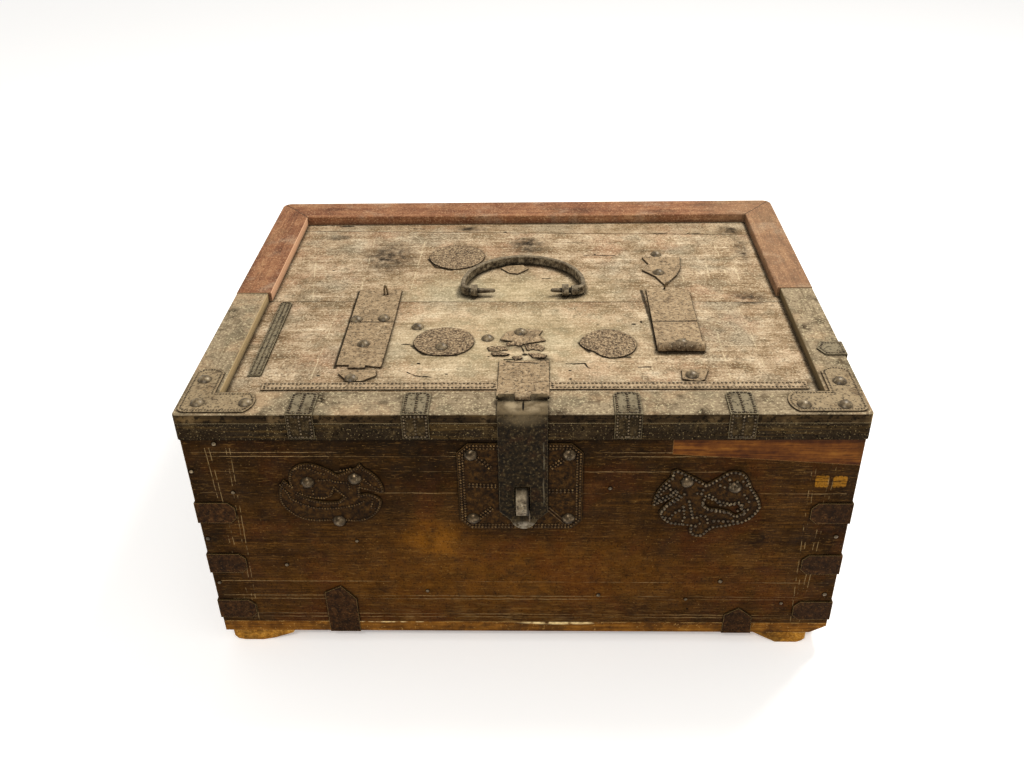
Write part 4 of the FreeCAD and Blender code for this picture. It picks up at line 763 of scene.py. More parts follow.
# %% Side and back boards, plainer
def outer_board(name, along):
    # The same stained hardwood, where no hand has rubbed it
    wood = Finish(name)
    bands = wood.streaks(along, 300, 19, 3.0, shift=3.0 + along)
    lines = wood.streaks(along, 110, 2.8, 6.0, shift=5.5)
    fine = wood.streaks(along, 75, 0.9, 3.0, shift=6.5)
    mottle = wood.patches(14, 7.0, shift=5.0)
    mixed = wood.weigh((bands, 0.20), (lines, 0.34), (fine, 0.24), (mottle, 0.22))
    wood.ground(mixed, shades("130a02 2a1807 40260b 634118", 0.37, 0.45, 0.53, 0.64))
    wood.coat("1e1408", 0.6, wood.blots(70, 5, 0.48, 0.70))
    wood.coat("6c451a", 0.5, wood.blots(42, 5, 0.54, 0.74, 9))
    grit = wood.patches(1.7, 4.0)
    wood.coat("a5844e", 0.35, wood.between(grit, 0.36, 0.28))
    wood.coat("0c0602", 0.55, wood.between(grit, 0.54, 0.64))
    # Darker where sheltered: partly dirt, partly painted shade
    wood.coat("0a0502", 0.90, wood.dirt_and_painted_shade(6.0))
    wood.coat("8c6a3e", 0.9, wood.edges(1.4), wood.patches(6, 4.0))
    wood.raised((lines, 0.30), (fine, 0.25), (wood.patches(6, 5.0), 0.45))
    wood.gloss = wood.blots(18, 5, 1.9, 0.1)
    return wood.finished(0.55, worn_round=0.9, shine=0.03)


wear(outer_board("stained_side_wood", along_y), "left_side_board", "right_side_board")
wear(outer_board("stained_back_wood", along_x), "back_board")

# %% [markdown]
# ## Repair strip, base and battens
#
# The strip let into the front's upper right corner is newer and orange. The
# base board and the two battens under it are raw ochre wood that nobody
# stained, with torn, lighter edges.

# %% Orange repair strip
# Planed hardwood, oiled and still fresh: orange, with fine dark lines
strip = Finish("oiled_repair_wood")
lines = strip.streaks(along_x, 60, 2.2, 6.0, shift=1.0)
bands = strip.streaks(along_x, 160, 9, 3.0, shift=7.0)
mottle = strip.patches(12, 6.0, shift=2.0)
mixed = strip.weigh((bands, 0.30), (lines, 0.40), (mottle, 0.30))
strip.ground(mixed, shades("221004 40200a 653a12 8a5a22"))
strip.coat("241305", 0.60, strip.blots(40, 5, 0.50, 0.68))
strip.coat("160a03", 0.65,
           strip.between(strip.streaks(along_x, 12, 1.2, 4.0, shift=5.0), 0.56, 0.68))
# Darker where sheltered: partly dirt, partly painted shade
strip.coat("0e0702", 0.85, strip.dirt_and_painted_shade(5.0))
strip.coat("9a6c36", 0.6, strip.edges(1.0))
strip.raised((lines, 0.35), (strip.patches(5, 5.0), 0.3))
wear(strip.finished(0.7, shine=0.08), "front_repair_strip")


# %% Raw base and battens
def raw_base(name, along, colours, torn_code, broken_out=()):
    # Sawn wood with no finish at all: rough, and pale where it is torn
    wood = Finish(name)
    bands = wood.streaks(along, 90, 8, 5.0, shift=2.0)
    lines = wood.streaks(along, 40, 2.2, 6.0, shift=1.0)
    mottle = wood.patches(10, 7.0, shift=5.0)
    mixed = wood.weigh((bands, 0.32), (lines, 0.34), (mottle, 0.34))
    wood.ground(mixed, colours)
    wood.coat("2c1906", 0.60, wood.blots(30, 6, 0.50, 0.62))
    wood.coat(torn_code, 0.75, wood.edges(2.2), wood.blots(9, 5, 0.44, 0.60))
    if broken_out:
        wood.coat("e6cb92", 0.9, wood.spots(broken_out, ragged=0.12))
    wood.coat("c79c58", 0.5, wood.blots(2.2, 3, 0.62, 0.72))
    wood.raised((lines, 0.5), (wood.patches(4, 6.0), 0.9))
    return wood.finished(0.85, worn_round=1.4, shine=0.1)


brown_shades = shades("2e1904 563309 7b4e16 a67833", 0.34, 0.45, 0.55, 0.67)
ochre_shades = shades("452a0a 7e5216 b17c2c d9a857", 0.34, 0.45, 0.55, 0.67)
splintered = [((33, -203, 25), (42, 14, 2.6), 0.5), ((-120, -203, 26), (60, 14, 1.6), 0.6)]
wear(raw_base("raw_base_wood", along_x, brown_shades, "cda561", splintered), "base_board")
wear(raw_base("raw_batten_wood", along_y, ochre_shades, "ecc889"), "left_foot", "right_foot")

# %% [markdown]
# ## Iron
#
# All the iron is hand-forged or cut from thin sheet. Rust is not a metal, so the sheet and the
# forged iron are a rough brown crust that is at most a little metallic, and only the front nail
# heads and the beads, which hands and other iron rub bright, are more so. The sheet on the lid is
# filled with dust until it is nearly the colour of the wood, the sheet on the front is dark brown
# and greasy, the forged pieces are black-brown with grey wear on their edges, and the nail heads
# are the most rubbed of all.

# %% Forged iron
def forged(name, colours, wear_and_edge_shade_code, dust_code, dust_amount):
    # Wrought iron, hammered: an uneven brown-black skin, grey along its edges
    iron = Finish(name)
    iron.ground(iron.patches(4, 8.0), colours)
    iron.coat("3c2410", 0.40, iron.blots(15, 5, 0.52, 0.70, 3))
    grit = iron.patches(1.8, 4.0, shift=8.0)
    iron.coat("7a6b4a", 0.32, iron.between(grit, 0.42, 0.34))
    iron.coat("070503", 0.70, iron.between(grit, 0.53, 0.61))
    iron.coat(dust_code, dust_amount, iron.upward(), iron.blots(12, 6, 0.25, 0.55))
    # Darker where sheltered: partly dirt, partly painted shade
    iron.coat("080502", 0.80, iron.dirt_and_painted_shade(4.0))
    iron.coat(wear_and_edge_shade_code, 0.80, iron.edges(0.8), iron.blots(5, 4, 0.3, 0.6))
    iron.raised((grit, -0.35), (iron.patches(4.5, 5.0), 0.6), (iron.patches(12, 3.0), 0.6))
    return iron


black_iron = shades("0e0904 1a1308 271d0f 3a2e19", 0.34, 0.46, 0.56, 0.68)
bail_shades = shades("282118 544938 766a55 9c9078", 0.34, 0.46, 0.56, 0.70)
staple_shades = shades("3e3426 5e513f 7f725c a3967e", 0.34, 0.46, 0.56, 0.70)
print("iron:", len(black_iron), "shades in each ground")

# %% Hasp, bail, staple and hinges
hasp_middle = 2.5
hasp_iron = forged("forged_hasp_iron", black_iron, "7d7056", "7d6c50", 0.42)
bend = hasp_iron.spots([((hasp_middle, -208, 250), (26, 9, 12), 0.9)])
top_face = hasp_iron.spots([((hasp_middle, -197, 254), (27, 12, 6), 0.6)], ragged=0.2)
painted_lip_highlight = hasp_iron.spots([((hasp_middle, -212, 143.5), (14, 5, 6), 0.6)])
rolled_side = hasp_iron.scratches([((18.8, -207.8, 226), (18.8, -207.8, 162))], 0.15, 0.8,
                                  wander=0.9)
rib = hasp_iron.combined(rolled_side, hasp_iron.blots(7, 5, 0.40, 0.60, 4))
slit = hasp_iron.spots([((3, -197, 256), (1.0, 8, 9), 0.4)])
hasp_iron.coat("7d6c50", 0.42, bend, hasp_iron.blots(12, 6, 0.25, 0.55))
hasp_iron.coat("a8977a", 0.60, top_face)
# The lip at the hasp's foot is painted pale grey: a painted highlight where its upturned face
# catches the light
hasp_iron.coat("a59a88", 0.70, painted_lip_highlight, hasp_iron.blots(5, 6, 0.35, 0.60))
hasp_iron.coat("6a604c", 0.55, rib)
hasp_iron.coat("050302", 0.95, slit)
hasp_iron.raised((rib, 0.3), (slit, -1.2))
wear(hasp_iron.finished(0.6, 0.0, worn_round=0.8, shine=0.06), "hasp", "hasp_pin")
wear(forged("forged_bail_iron", bail_shades, "b5a88c", "7b6d58", 0.5)
     .finished(0.6, 0.15, worn_round=0.8, shine=0.15), "handle", "handle_eyes")
staple_iron = forged("rubbed_staple_iron", staple_shades, "c4b594", "8a7b63", 0.4)
shaded = staple_iron.spots([
    ((9.5, -212, 166), (6.2, 20, 40), 0.35), ((-4.5, -217, 190), (4.5, 14, 5), 0.4),
    ((2, -216, 146), (10, 14, 17), 0.9),
])
staple_iron.coat("1c150d", 0.9, shaded)
wear(staple_iron.finished(0.5, 0.3, worn_round=1.2, shine=0.2), "staple")
wear(forged("forged_hinge_iron", black_iron, "6d6352", "5d5140", 0.5)
     .finished(0.6, 0.15, worn_round=0.8, shine=0.15),
     "left_hinge_case_leaf", "right_hinge_case_leaf", "left_hinge_lid_leaf",
     "right_hinge_lid_leaf", "left_hinge_pin", "right_hinge_pin")


# %% Sheet iron
def sheet(name, colours, pit_code, speck_code, dust_code, dust_amount, wear_and_edge_shade_code, relief=0.5,
          shine=0.12, seams=(), rolls=(), crust_and_highlight_code=None):
    # Thin sheet iron, cut by hand: pitted by rust and matt with dust. Seams are lines where two
    # layers lap, rolls are places where the sheet has curled up and that are drawn darker, and
    # crust is coarse rust that stands off the sheet. The crust's raised grains are painted pale,
    # painted highlight over the rust, and its hollows are dark with rust. The edge colour is a
    # paler rubbed edge on the front sheets and the grey straps, and a dark outline on the other
    # lid sheets and the roundels, painted shade in the gaps under their edges.
    tin = Finish(name)
    tin.ground(tin.patches(5.0, 8.0), colours)
    tin.coat(pit_code, 0.40, tin.blots(22, 6, 0.50, 0.62, 2))
    tin.coat(dust_code, dust_amount, tin.upward(), tin.blots(16, 6, 0.25, 0.52, 5))
    pits = tin.patches(2.6, 6.0, shift=1.0)
    grit = tin.patches(1.5, 3.0, shift=7.0)
    tin.coat(pit_code, 0.70, tin.between(pits, 0.53, 0.60))
    # Crust: pale raised grains are painted highlight over the rust, its hollows dark with rust
    if crust_and_highlight_code:
        grains = tin.patches(2.0, 2.0, shift=11.0)
        tin.coat(pit_code, 0.55, tin.between(grains, 0.50, 0.42))
        tin.coat(crust_and_highlight_code, 0.65, tin.between(grains, 0.53, 0.62))
        tin.raised((grains, relief))
    # A curl in the sheet is drawn darker
    if rolls:
        tin.coat(pit_code, 0.65, tin.spots(rolls))
    tin.coat(speck_code, 0.35, tin.between(grit, 0.42, 0.33))
    # Darker where sheltered: partly dirt, partly painted shade
    tin.coat(pit_code, 0.90, tin.dirt_and_painted_shade(2.5))
    # The edge colour: paler rubbed edges on some sheets, and on the dusty lid sheets and roundels
    # a dark outline, painted shade
    tin.coat(wear_and_edge_shade_code, 0.7, tin.edges(0.9, 0.02, 0.3))
    if seams:
        laps = tin.scratches(seams, 0.35, 0.6, wander=0.8)
        tin.coat(pit_code, 0.95, laps)
        tin.raised((laps, -1.0))
    tin.raised((pits, -relief), (grit, -0.3 * relief), (tin.patches(9, 3.0), relief))
    return tin.finished(0.65, worn_round=0.4, shine=shine)


dusty_tin = sheet("dusty_sheet_iron",
                  shades("4d3e2b 776249 957e60 baa687"),
                  "2c2116", "e0cfae", "a18b6c", 0.50, "1f170f", relief=1.1,
                  seams=[((-156, -47.7, 244.4), (-116, -47.7, 244.4)),
                         ((117, -48.7, 244.4), (157, -48.7, 244.4)),
                         ((-12, -117, 244), (14, -119, 244))],
                  rolls=[((137, -98, 247), (22, 8, 8), 0.4)])
rusted_tin = sheet("rusted_roundel_iron",
                   shades("3e2f20 6a5540 8d765a b6a07f", 0.36, 0.45, 0.54, 0.66),
                   "20160e", "dac6a4", "947d60", 0.40, "150f08", relief=1.8,
                   crust_and_highlight_code="bfa885")
border_tin = sheet("dusty_border_iron",
                   shades("64523c 897257 a28c70 bdab8c"),
                   "3f3325", "e0cfae", "a59072", 0.60, "5a4b36", relief=0.4)
grey_tin = sheet("greyed_strap_iron",
                 shades("1c1409 2d2210 3d301b 55452c"),
                 "140e07", "948565", "847962", 0.85, "978a6c", relief=0.4, shine=0.05)
plate_tin = sheet("dusty_corner_plate_iron",
                  shades("3b2d1c 5d4a33 7d684b a28d6b"),
                  "20170d", "cbb994", "968467", 0.75, "2a2014", relief=0.8)
dark_tin = sheet("greasy_front_iron",
                 shades("180d03 261605 36220a 4d3414"),
                 "0a0502", "5c4520", "4a3a28", 0.3, "6b522c", relief=0.25, shine=0.05)
brown_tin = sheet("rusted_corner_iron",
                  shades("1c0e04 2a1807 37210d 4a2f16"),
                  "120904", "6d4f2b", "4a3a28", 0.3, "9c8150", relief=0.35, shine=0.05)
wear(dusty_tin, "left_band_upper", "left_band_lower", "left_band_tip", "right_band_remnant",
     "right_band_upper", "right_band_lower", "right_band_tail", "hasp_anchor_leaf",
     "handle_tin_remnant", "middle_tin_remnant")
wear(rusted_tin, "rear_left_roundel", "front_left_roundel", "front_right_roundel")
wear(border_tin, "border_strip")
wear(grey_tin, "edge_straps", "left_tin_strip", "side_strap")
wear(plate_tin, "left_corner_plate", "right_corner_plate")
wear(dark_tin, "lock_plate", "left_ornament", "right_ornament")
wear(brown_tin, "left_corner_straps", "right_corner_straps", "left_bottom_strap",
     "right_bottom_strap")


# %% Nail heads, and the rubbed tops of the beads
def nail_heads(name, colours, wear_and_edge_shade_code, metallic, rough):
    # Hammered nail heads: rust in the hollows, bright where hands pass
    iron = Finish(name)
    iron.ground(iron.patches(4.5, 6.0), colours)
    iron.coat("3f3019", 0.5, iron.blots(6, 4, 0.52, 0.66, 3))
    iron.coat(wear_and_edge_shade_code, 0.5, iron.blots(1.8, 3, 0.60, 0.70, 1))
    # Darker where sheltered: partly dirt, partly painted shade
    iron.coat("100a05", 0.85, iron.dirt_and_painted_shade(2.5))
    iron.raised((iron.patches(2.2, 3.0), 0.08))
    return iron.finished(rough, metallic, worn_round=0.4, shine=0.4)


nail_places = (0.34, 0.46, 0.56, 0.70)
wear(nail_heads("rubbed_nail_iron", shades("251c10 3c301f 554632 756650", *nail_places),
                "b3a283", 0.75, 0.32), "front_studs")
wear(nail_heads("dull_nail_iron", shades("352a1c 54462f 706046 938366", *nail_places),
                "b3a587", 0.1, 0.42),
     "panel_studs", "rail_studs", "case_hinge_nails", "lid_hinge_nails")
dark_beads = nail_heads("rubbed_dark_beads", shades("2c1c0a 443016 5e4524 85683c", *nail_places),
                        "b89a68", 0.75, 0.32)
grey_beads = nail_heads("dusty_grey_beads", shades("2a2114 463824 64533a 877456", *nail_places),
                        "b9a67f", 0.4, 0.36)

# %% [markdown]
# ## Beading
#
# The smith laid the thin sheet on a lead block and punched rows of dots into
# it from behind, along its edges and along the lines of the drawing. There
# are well over a thousand of them, so nobody places them one by one. A row is
# a bare line of points. A Geometry Nodes tree turns it into a curve, steps
# along it at an even spacing, sets a flattened ball at each step and varies
# its size a little, because no two blows were alike.
#
# Most rows follow the edge of their own sheet. So the line is taken from the solid piece itself:
# the rim of its outer face, drawn inwards by a few millimetres. Only the rows inside an ornament
# are listed, as shares of its width and height.

# %% The tree that punches a row
punching = bpy.data.node_groups.new("punched beads", "GeometryNodeTree")
punching.is_modifier = True
face_of = punching.interface
face_of.new_socket("Geometry", in_out="INPUT", socket_type="NodeSocketGeometry")
socket_of = {}
for name, kind in (
    ("Spacing", "NodeSocketFloat"), ("Bead radius", "NodeSocketFloat"),
    ("Flatness", "NodeSocketVector"), ("Unevenness", "NodeSocketFloat"),
    ("Seed", "NodeSocketInt"), ("Iron", "NodeSocketMaterial"),
):
    socket_of[name] = face_of.new_socket(name, in_out="INPUT", socket_type=kind).identifier
face_of.new_socket("Geometry", in_out="OUTPUT", socket_type="NodeSocketGeometry")
given = node(punching, "NodeGroupInput").outputs
path = node(punching, "GeometryNodeMeshToCurve", {0: given["Geometry"]}).outputs[0]
steps = node(punching, "GeometryNodeResampleCurve", {"Curve": path, "Length": given["Spacing"]},
             mode="LENGTH").outputs[0]
ball_segments, ball_rings = 8, 5
ball = node(punching, "GeometryNodeMeshUVSphere",
            {"Segments": ball_segments, "Rings": ball_rings,
             "Radius": given["Bead radius"]}).outputs["Mesh"]
smallest = node(punching, "ShaderNodeMath", {0: 1.0, 1: given["Unevenness"]},
                operation="SUBTRACT").outputs[0]
largest = node(punching, "ShaderNodeMath", {0: 1.0, 1: given["Unevenness"]},
               operation="ADD").outputs[0]
blow = node(punching, "FunctionNodeRandomValue",
            {"Min": smallest, "Max": largest, "Seed": given["Seed"]},
            data_type="FLOAT").outputs[1]
bead_size = node(punching, "ShaderNodeVectorMath", {0: given["Flatness"], "Scale": blow},
                 operation="SCALE").outputs[0]
beads = node(punching, "GeometryNodeInstanceOnPoints",
             {"Points": steps, "Instance": ball, "Scale": bead_size}).outputs[0]
solid_beads = node(punching, "GeometryNodeRealizeInstances", {0: beads}).outputs[0]
round_beads = node(punching, "GeometryNodeSetShadeSmooth", {0: solid_beads}).outputs[0]
iron_beads = node(punching, "GeometryNodeSetMaterial",
                  {"Geometry": round_beads, "Material": given["Iron"]}).outputs[0]
node(punching, "NodeGroupOutput", {0: iron_beads})
print("bead tree inputs:", ", ".join(socket_of))


# %% Punch rows and keep the result as one plain mesh
def plain_piece(name, body, mesh):
    piece = bpy.data.objects.new(name, mesh)
    bpy.context.collection.objects.link(piece)
    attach(piece, body)
    return piece


def kept_mesh(name, holder):
    # the mesh that the holder's tree or curve makes, while the holder itself goes
    whole = holder.evaluated_get(bpy.context.evaluated_depsgraph_get())
    mesh = bpy.data.meshes.new_from_object(whole)
    bpy.data.objects.remove(holder)
    mesh.name = name
    return mesh


def hand_built(name, body, shape, iron):
    bmesh.ops.recalc_face_normals(shape, faces=shape.faces)
    mesh = bpy.data.meshes.new(name)
    shape.to_mesh(mesh)
    shape.free()
    mesh.materials.append(iron)
    return plain_piece(name, body, mesh)


def punch(name, body, rows, iron, radius=1.0, spacing=2.8, flat=(1, 1, 0.7), uneven=0.12):
    points, links = [], []
    for row, closed in rows:
        first = len(points)
        points += [Vector(point) * mm for point in row]
        links += [(i, i + 1) for i in range(first, len(points) - 1)]
        if closed:
            links.append((len(points) - 1, first))
    drawn = bpy.data.meshes.new(name + "_rows")
    drawn.from_pydata(points, links, [])
    holder = bpy.data.objects.new(name + "_rows", drawn)
    bpy.context.collection.objects.link(holder)
    punches = holder.modifiers.new("punches", "NODES")
    punches.node_group = punching
    for socket, value in (
        ("Spacing", spacing * mm), ("Bead radius", radius * mm), ("Flatness", flat),
        ("Unevenness", uneven), ("Seed", len(points)), ("Iron", iron),
    ):
        punches[socket_of[socket]] = value
    mesh = kept_mesh(name, holder)
    print(name, "has", len(mesh.polygons) // (ball_segments * ball_rings), "beads")
    return plain_piece(name, body, mesh)


# %% The rim of a sheet's outer face, drawn inwards
frontward, skyward = (0, -1, 0), (0, 0, 1)


def rims(name, outward, inset):
    outward = Vector(outward)
    solid = bmesh.new()
    solid.from_mesh(nodes[name].data)
    bmesh.ops.remove_doubles(solid, verts=solid.verts, dist=1e-6)
    top = max(vert.co.dot(outward) for vert in solid.verts)
    flat = [
        face for face in solid.faces
        if face.normal.dot(outward) > 0.99
        and all(abs(vert.co.dot(outward) - top) < 5e-5 for vert in face.verts)
    ]
    members = set(flat)

    # the faces are gone through in the mesh's order, so that each row always
    # starts at the same corner
    following = {}
    for face in flat:
        for loop in face.loops:
            if sum(other in members for other in loop.edge.link_faces) == 1:
                following[loop.vert] = loop.link_loop_next.vert
    rows = []
    while following:
        start = next(iter(following))
        around = [start]
        while following.get(around[-1]) not in (None, start):
            around.append(following.pop(around[-1]))
        following.pop(around[-1], None)
        places = [vert.co / mm for vert in around]

        # each corner moves along the mean of its two sides' inward normals
        moved = []
        for i, place in enumerate(places):
            before = (place - places[i - 1]).normalized()
            after = (places[(i + 1) % len(places)] - place).normalized()
            inward = outward.cross(before) + outward.cross(after)
            if inward.length > 0.3:
                moved.append(place + inward * (inset / max(0.35, inward.length_squared / 2)))
        if len(moved) > 2:
            rows.append((moved, True))
    solid.free()
    return rows


print("lock plate rims:", [len(row) for row, closed in rims("lock_plate", frontward, 2)])

# %% [markdown]
# ### Beads on the front
#
# The lock plate has a twisted-looking border, which is two rows of dots side
# by side, with double rows from its corner nails inwards and across. The left
# ornament has fine close dots. The right one was cut from another sheet, with
# large dots wide apart that catch the light.

# %% Lock plate
sheet_face = round(box("lock_plate")[0].y, 1)
bead_level = sheet_face - 0.1


def to_front(points):
    return [(x, bead_level, z) for x, z in points]


def double(points, apart):
    # two rows, each half the distance apart from the line between the points
    (x0, z0), (x1, z1) = points
    length = math.hypot(x1 - x0, z1 - z0)
    dx, dz = (z0 - z1) / length * apart / 2, (x1 - x0) / length * apart / 2
    return [
        (to_front([(x0 + s * dx, z0 + s * dz), (x1 + s * dx, z1 + s * dz)]), False)
        for s in (-1, 1)
    ]


lock_rows = rims("lock_plate", frontward, 2.0) + rims("lock_plate", frontward, 4.6)
for run in (
    [(38, 211), (25, 200)], [(-36, 211), (-24, 200)], [(-36, 146), (-24, 158)],
    [(23, 176), (42, 176)], [(-41, 182), (-20, 181)],
):
    lock_rows += double(run, 2.4)
front_flat = (1, 0.75, 1)
punch("lock_plate_beads", "case", lock_rows, dark_beads, 1.1, 2.75, front_flat)
punch("lock_plate_ridges", "case", double([(22, 158), (36, 143)], 2.6), dark_beads, 0.7, 0.8,
      front_flat, 0.05)


# %% Ornaments
def on_ornament(name, rows):
    # points are shares of the width from the left and of the height from the top
    low, high = box(name)
    return [
        (to_front([(low.x + u * (high.x - low.x), high.z - v * (high.z - low.z))
                   for u, v in row]), False)
        for row in rows
    ]


left_rows = [
    [(0.03, 0.36), (0.08, 0.48), (0.11, 0.60), (0.20, 0.68), (0.30, 0.75), (0.43, 0.77),
     (0.55, 0.76), (0.65, 0.73), (0.73, 0.70), (0.80, 0.64)],
    [(0.18, 0.10), (0.23, 0.07), (0.32, 0.08), (0.40, 0.15), (0.46, 0.17)],
    [(0.40, 0.28), (0.45, 0.28), (0.50, 0.27), (0.56, 0.31), (0.67, 0.32), (0.68, 0.37),
     (0.68, 0.42)],
    [(0.32, 0.40), (0.33, 0.46), (0.33, 0.51)],
    [(0.83, 0.26), (0.85, 0.31), (0.91, 0.40), (0.95, 0.43)],
    [(0.78, 0.36), (0.76, 0.41)],
    [(0.885, 0.60), (0.88, 0.67), (0.86, 0.75), (0.90, 0.76)],
    [(0.62, 0.12), (0.66, 0.11), (0.71, 0.09)],
]
punch("left_ornament_beads", "case",
      rims("left_ornament", frontward, 1.2) + on_ornament("left_ornament", left_rows),
      dark_beads, 0.9, 2.25, (1, 0.9, 1), 0.15)

right_rows = [
    [(0.285, 0.35), (0.24, 0.42), (0.17, 0.49), (0.13, 0.53), (0.09, 0.62)],
    [(0.05, 0.39), (0.08, 0.33), (0.11, 0.26), (0.14, 0.22)],
    [(0.155, 0.28), (0.19, 0.34), (0.23, 0.31), (0.20, 0.30)],
    [(0.04, 0.48), (0.065, 0.43), (0.16, 0.36)],
    [(0.285, 0.54), (0.295, 0.60), (0.305, 0.70), (0.29, 0.75), (0.285, 0.80)],
    [(0.13, 0.70), (0.17, 0.71), (0.19, 0.66), (0.225, 0.61), (0.25, 0.59)],
    [(0.465, 0.49), (0.48, 0.55), (0.53, 0.58), (0.58, 0.60), (0.66, 0.62), (0.71, 0.63)],
    [(0.51, 0.36), (0.56, 0.40), (0.59, 0.47), (0.63, 0.51), (0.68, 0.52), (0.74, 0.50),
     (0.78, 0.49), (0.82, 0.50), (0.825, 0.56), (0.79, 0.60)],
    [(0.88, 0.58), (0.845, 0.65)],
    [(0.58, 0.75), (0.63, 0.75), (0.68, 0.76), (0.745, 0.75), (0.80, 0.76)],
    [(0.42, 0.70), (0.45, 0.67), (0.50, 0.68), (0.52, 0.73), (0.525, 0.78)],
    [(0.415, 0.83), (0.45, 0.79)],
    [(0.335, 0.46), (0.34, 0.50), (0.36, 0.58), (0.37, 0.64), (0.38, 0.70)],
    [(0.45, 0.29), (0.44, 0.35), (0.40, 0.34)],
    [(0.60, 0.22), (0.645, 0.25), (0.69, 0.26)],
    [(0.68, 0.14), (0.69, 0.20)],
    [(0.75, 0.17), (0.80, 0.16), (0.84, 0.22)],
    [(0.83, 0.36), (0.88, 0.46)],
]
punch("right_ornament_beads", "case",
      rims("right_ornament", frontward, 1.4) + on_ornament("right_ornament", right_rows),
      grey_beads, 1.3, 3.4, (1, 1, 1), 0.18)

# %% [markdown]
# ### Beads on the lid
#
# The straps that lap over the front edge have three columns each, the corner
# plates and the side strap a fine row round their edge, the strip at the left
# end two rows with a third between, and the long border strip two rows that
# look like stitching.

# %% Edge straps, corner plates, strips
strap_rows = rims("edge_straps", skyward, 1.9) + rims("edge_straps", frontward, 1.9)
strap_low, strap_high = box("edge_straps")
half_lid = round(box("front_rail")[1].x)
for share in (-0.630, -0.298, 0.311, 0.635):
    middle = half_lid * share
    strap_rows.append(([(middle, strap_low.y + 3, strap_high.z),
                        (middle, strap_high.y - 4, strap_high.z)], False))
    strap_rows.append(([(middle, strap_low.y, strap_high.z - 3),
                        (middle, strap_low.y, strap_low.z + 2)], False))
punch("edge_strap_beads", "lid", strap_rows, grey_beads, 1.0, 3.0, (1, 1, 1))

punch("corner_plate_beads", "lid",
      rims("left_corner_plate", skyward, 2.2) + rims("right_corner_plate", skyward, 2.2),
      grey_beads, 0.7, 2.3, (1, 1, 0.8))
punch("side_strap_beads", "lid", rims("side_strap", skyward, 2.4), grey_beads, 0.9, 2.6)

strip_low, strip_high = box("left_tin_strip")
middle = (strip_low.x + strip_high.x) / 2
punch("left_strip_beads", "lid", rims("left_tin_strip", skyward, 1.6)
      + [([(middle, strip_low.y + 3, strip_high.z), (middle, strip_high.y - 3, strip_high.z)],
          False)], grey_beads, 0.8, 2.3)
punch("border_strip_beads", "lid", rims("border_strip", skyward, 2.2), grey_beads, 1.05, 3.3)

# %% [markdown]
# ## Stray nails, a spike and loose flakes
#
# Where straps have been torn off, their nails are still there: small heads
# in the front, a hairpin spike at the top of the left band, a bent wire nail
# on the right one. The sheet round the middle remnant has rusted into curled
# flakes. The heads are the same punched balls, set at single places, and each
# wire is a smooth curve given a thickness.

# %% Small nail heads
stray_iron = nail_heads("pale_stray_nail_iron",
                        shades("372b1a 54452e 705f45 948364", *nail_places), "c4b48c", 0.2, 0.4)

# Each head is a row too short for the spacing. It gets a ball at each end, and
# the two overlap into one uneven head
head_level = front_face - 0.5
short_row = Vector((0.4, 0, 0.2))
head_places = [
    (x, head_level, z) for x, z in (
        (-242, 222.5), (-265, 195), (-234.6, 173.4), (-264.8, 123.6), (-138.5, 121.2),
        (-201.8, 94.1), (-82.7, 63.9), (-263.9, 72.9), (169.5, 76), (65.7, 59.4), (141.8, 54.9),
        (224.8, 50.5), (259.9, 126.9), (260.6, 61.3), (72, 177.8))
]
punch("front_stray_nails", "case",
      [([place, Vector(place) + short_row], False) for place in head_places],
      stray_iron, 1.5, 3.0, (1, 0.55, 1), 0.25)


# %% Spike, wire nail and the pin beside the staple
def wire(name, body, points, radius, iron):
    line = bpy.data.curves.new(name + "_line", "CURVE")
    line.dimensions = "3D"
    line.bevel_depth = radius * mm
    line.bevel_resolution = 3
    line.use_fill_caps = True
    run = line.splines.new("NURBS")
    run.points.add(len(points) - 1)
    for point, place in zip(run.points, points):
        point.co = (*(Vector(place) * mm), 1)
    run.order_u = 3
    run.use_endpoint_u = True
    holder = bpy.data.objects.new(name + "_line", line)
    bpy.context.collection.objects.link(holder)
    mesh = kept_mesh(name, holder)
    mesh.materials.clear()
    mesh.materials.append(iron)
    return plain_piece(name, body, mesh)


wire("left_band_spike", "lid", [(-131.6, 4.8, 243.6), (-131.6, 4.8, 250), (-130.2, 4.9, 255.5),
                                (-128.6, 5.1, 250), (-128.4, 5.2, 243.6)], 0.85, stray_iron)
wire("right_band_nail", "lid", [(134.2, 14.8, 243.6), (134.6, 14.4, 249), (137.2, 13.4, 252.2),
                                (138.6, 13.0, 251.6)], 1.0, stray_iron)
wire("staple_side_pin", "case", [(6.8, -211.8, 161), (7.3, -213.0, 157), (7.3, -213.0, 151)],
     0.6, stray_iron)


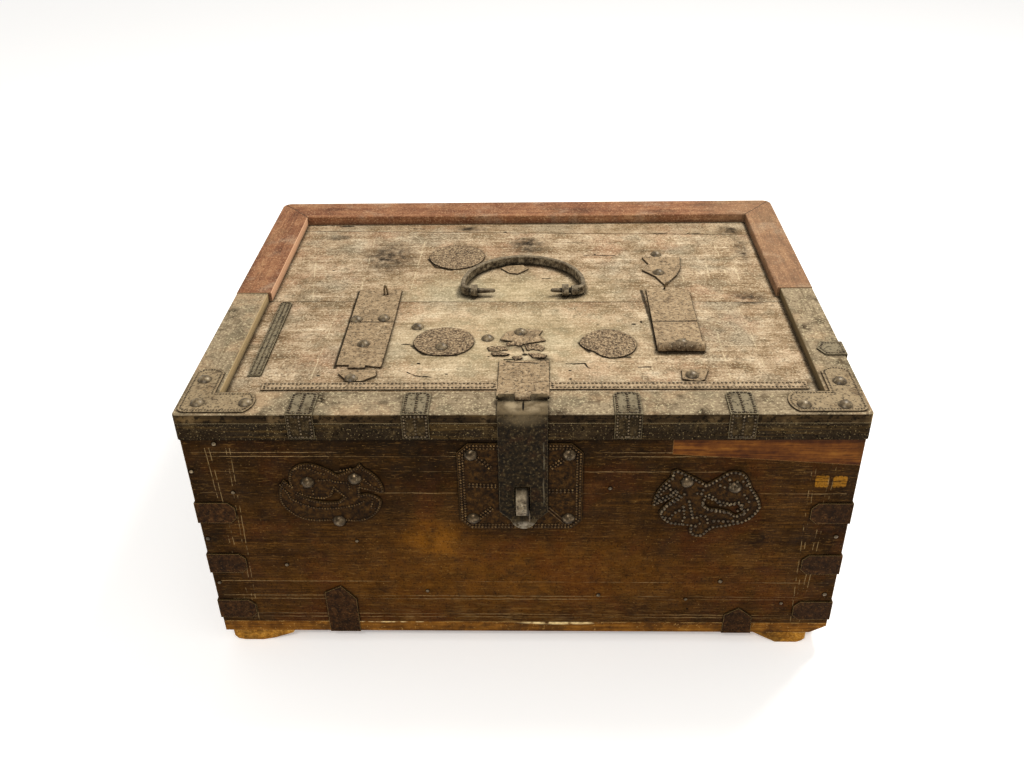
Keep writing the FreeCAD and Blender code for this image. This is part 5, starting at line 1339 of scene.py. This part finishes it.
# %% Collar on the bail's right end
def collar(name, body, profile, centre_y, centre_z, iron, steps=20):
    shape = bmesh.new()
    rings = []
    for step in range(steps):
        angle = 2 * math.pi * step / steps
        rings.append([
            shape.verts.new(Vector((x, centre_y + r * math.cos(angle),
                                    centre_z + r * math.sin(angle))) * mm)
            for x, r in profile
        ])
    for ring, following in zip(rings, rings[1:] + rings[:1]):
        for i in range(len(profile)):
            j = (i + 1) % len(profile)
            shape.faces.new((ring[i], ring[j], following[j], following[i]))
    return hand_built(name, body, shape, iron)


eyes_end = box("handle_eyes")[1].x
collar("bail_collar", "handle",
       [(45.6, 2.3), (45.4, 4.0), (46.2, 4.7), (49.6, 4.9), (51.4, 4.3), (51.4, 2.3)],
       4.3, 248.6, nodes["handle"].material_slots[0].material)
print("collar sits against the eye, which ends at", round(eyes_end, 1))


# %% Curled flakes round the middle remnant
def flakes(name, body, outlines, thickness, iron):
    # each corner is x, y and its lift off the panel
    shape = bmesh.new()
    for outline in outlines:
        under = [shape.verts.new(Vector((x, y, panel + lift)) * mm) for x, y, lift in outline]
        over = [shape.verts.new(vert.co + Vector((0, 0, thickness * mm))) for vert in under]
        shape.faces.new(over)
        shape.faces.new(reversed(under))
        for i in range(len(outline)):
            j = (i + 1) % len(outline)
            shape.faces.new((under[i], under[j], over[j], over[i]))
    bmesh.ops.recalc_face_normals(shape, faces=shape.faces)
    bmesh.ops.triangulate(shape, faces=shape.faces)
    return hand_built(name, body, shape, iron)


flakes("middle_flakes", "lid", [
    [(-13, -84, 0), (-6, -82, 0.6), (2, -85, 0.9), (0, -89, 0.3), (-7, -88, 0), (-12, -89, 0.2)],
    [(-30, -92, 0), (-24, -90, 0.8), (-14, -92, 1.0), (-12, -96, 0.2), (-22, -98, 0),
     (-28, -97, 0.1)],
    [(3, -88, 0.2), (12, -87, 1.0), (20, -92, 0.8), (18, -98, 0.1), (10, -95, 0), (5, -97, 0.4)],
    [(-26, -101, 0.7), (-16, -100, 0), (-10, -103, 0.1), (-14, -106, 0.9), (-24, -105, 0.6)],
    [(6, -102, 0.5), (14, -101, 0), (22, -105, 0.1), (20, -110, 0.9), (10, -109, 0.3)],
    [(-8, -107, 0), (0, -106, 0.4), (1, -111, 0.8), (-5, -113, 0.2)],
], 0.6, rusted_tin)
print("six flakes")
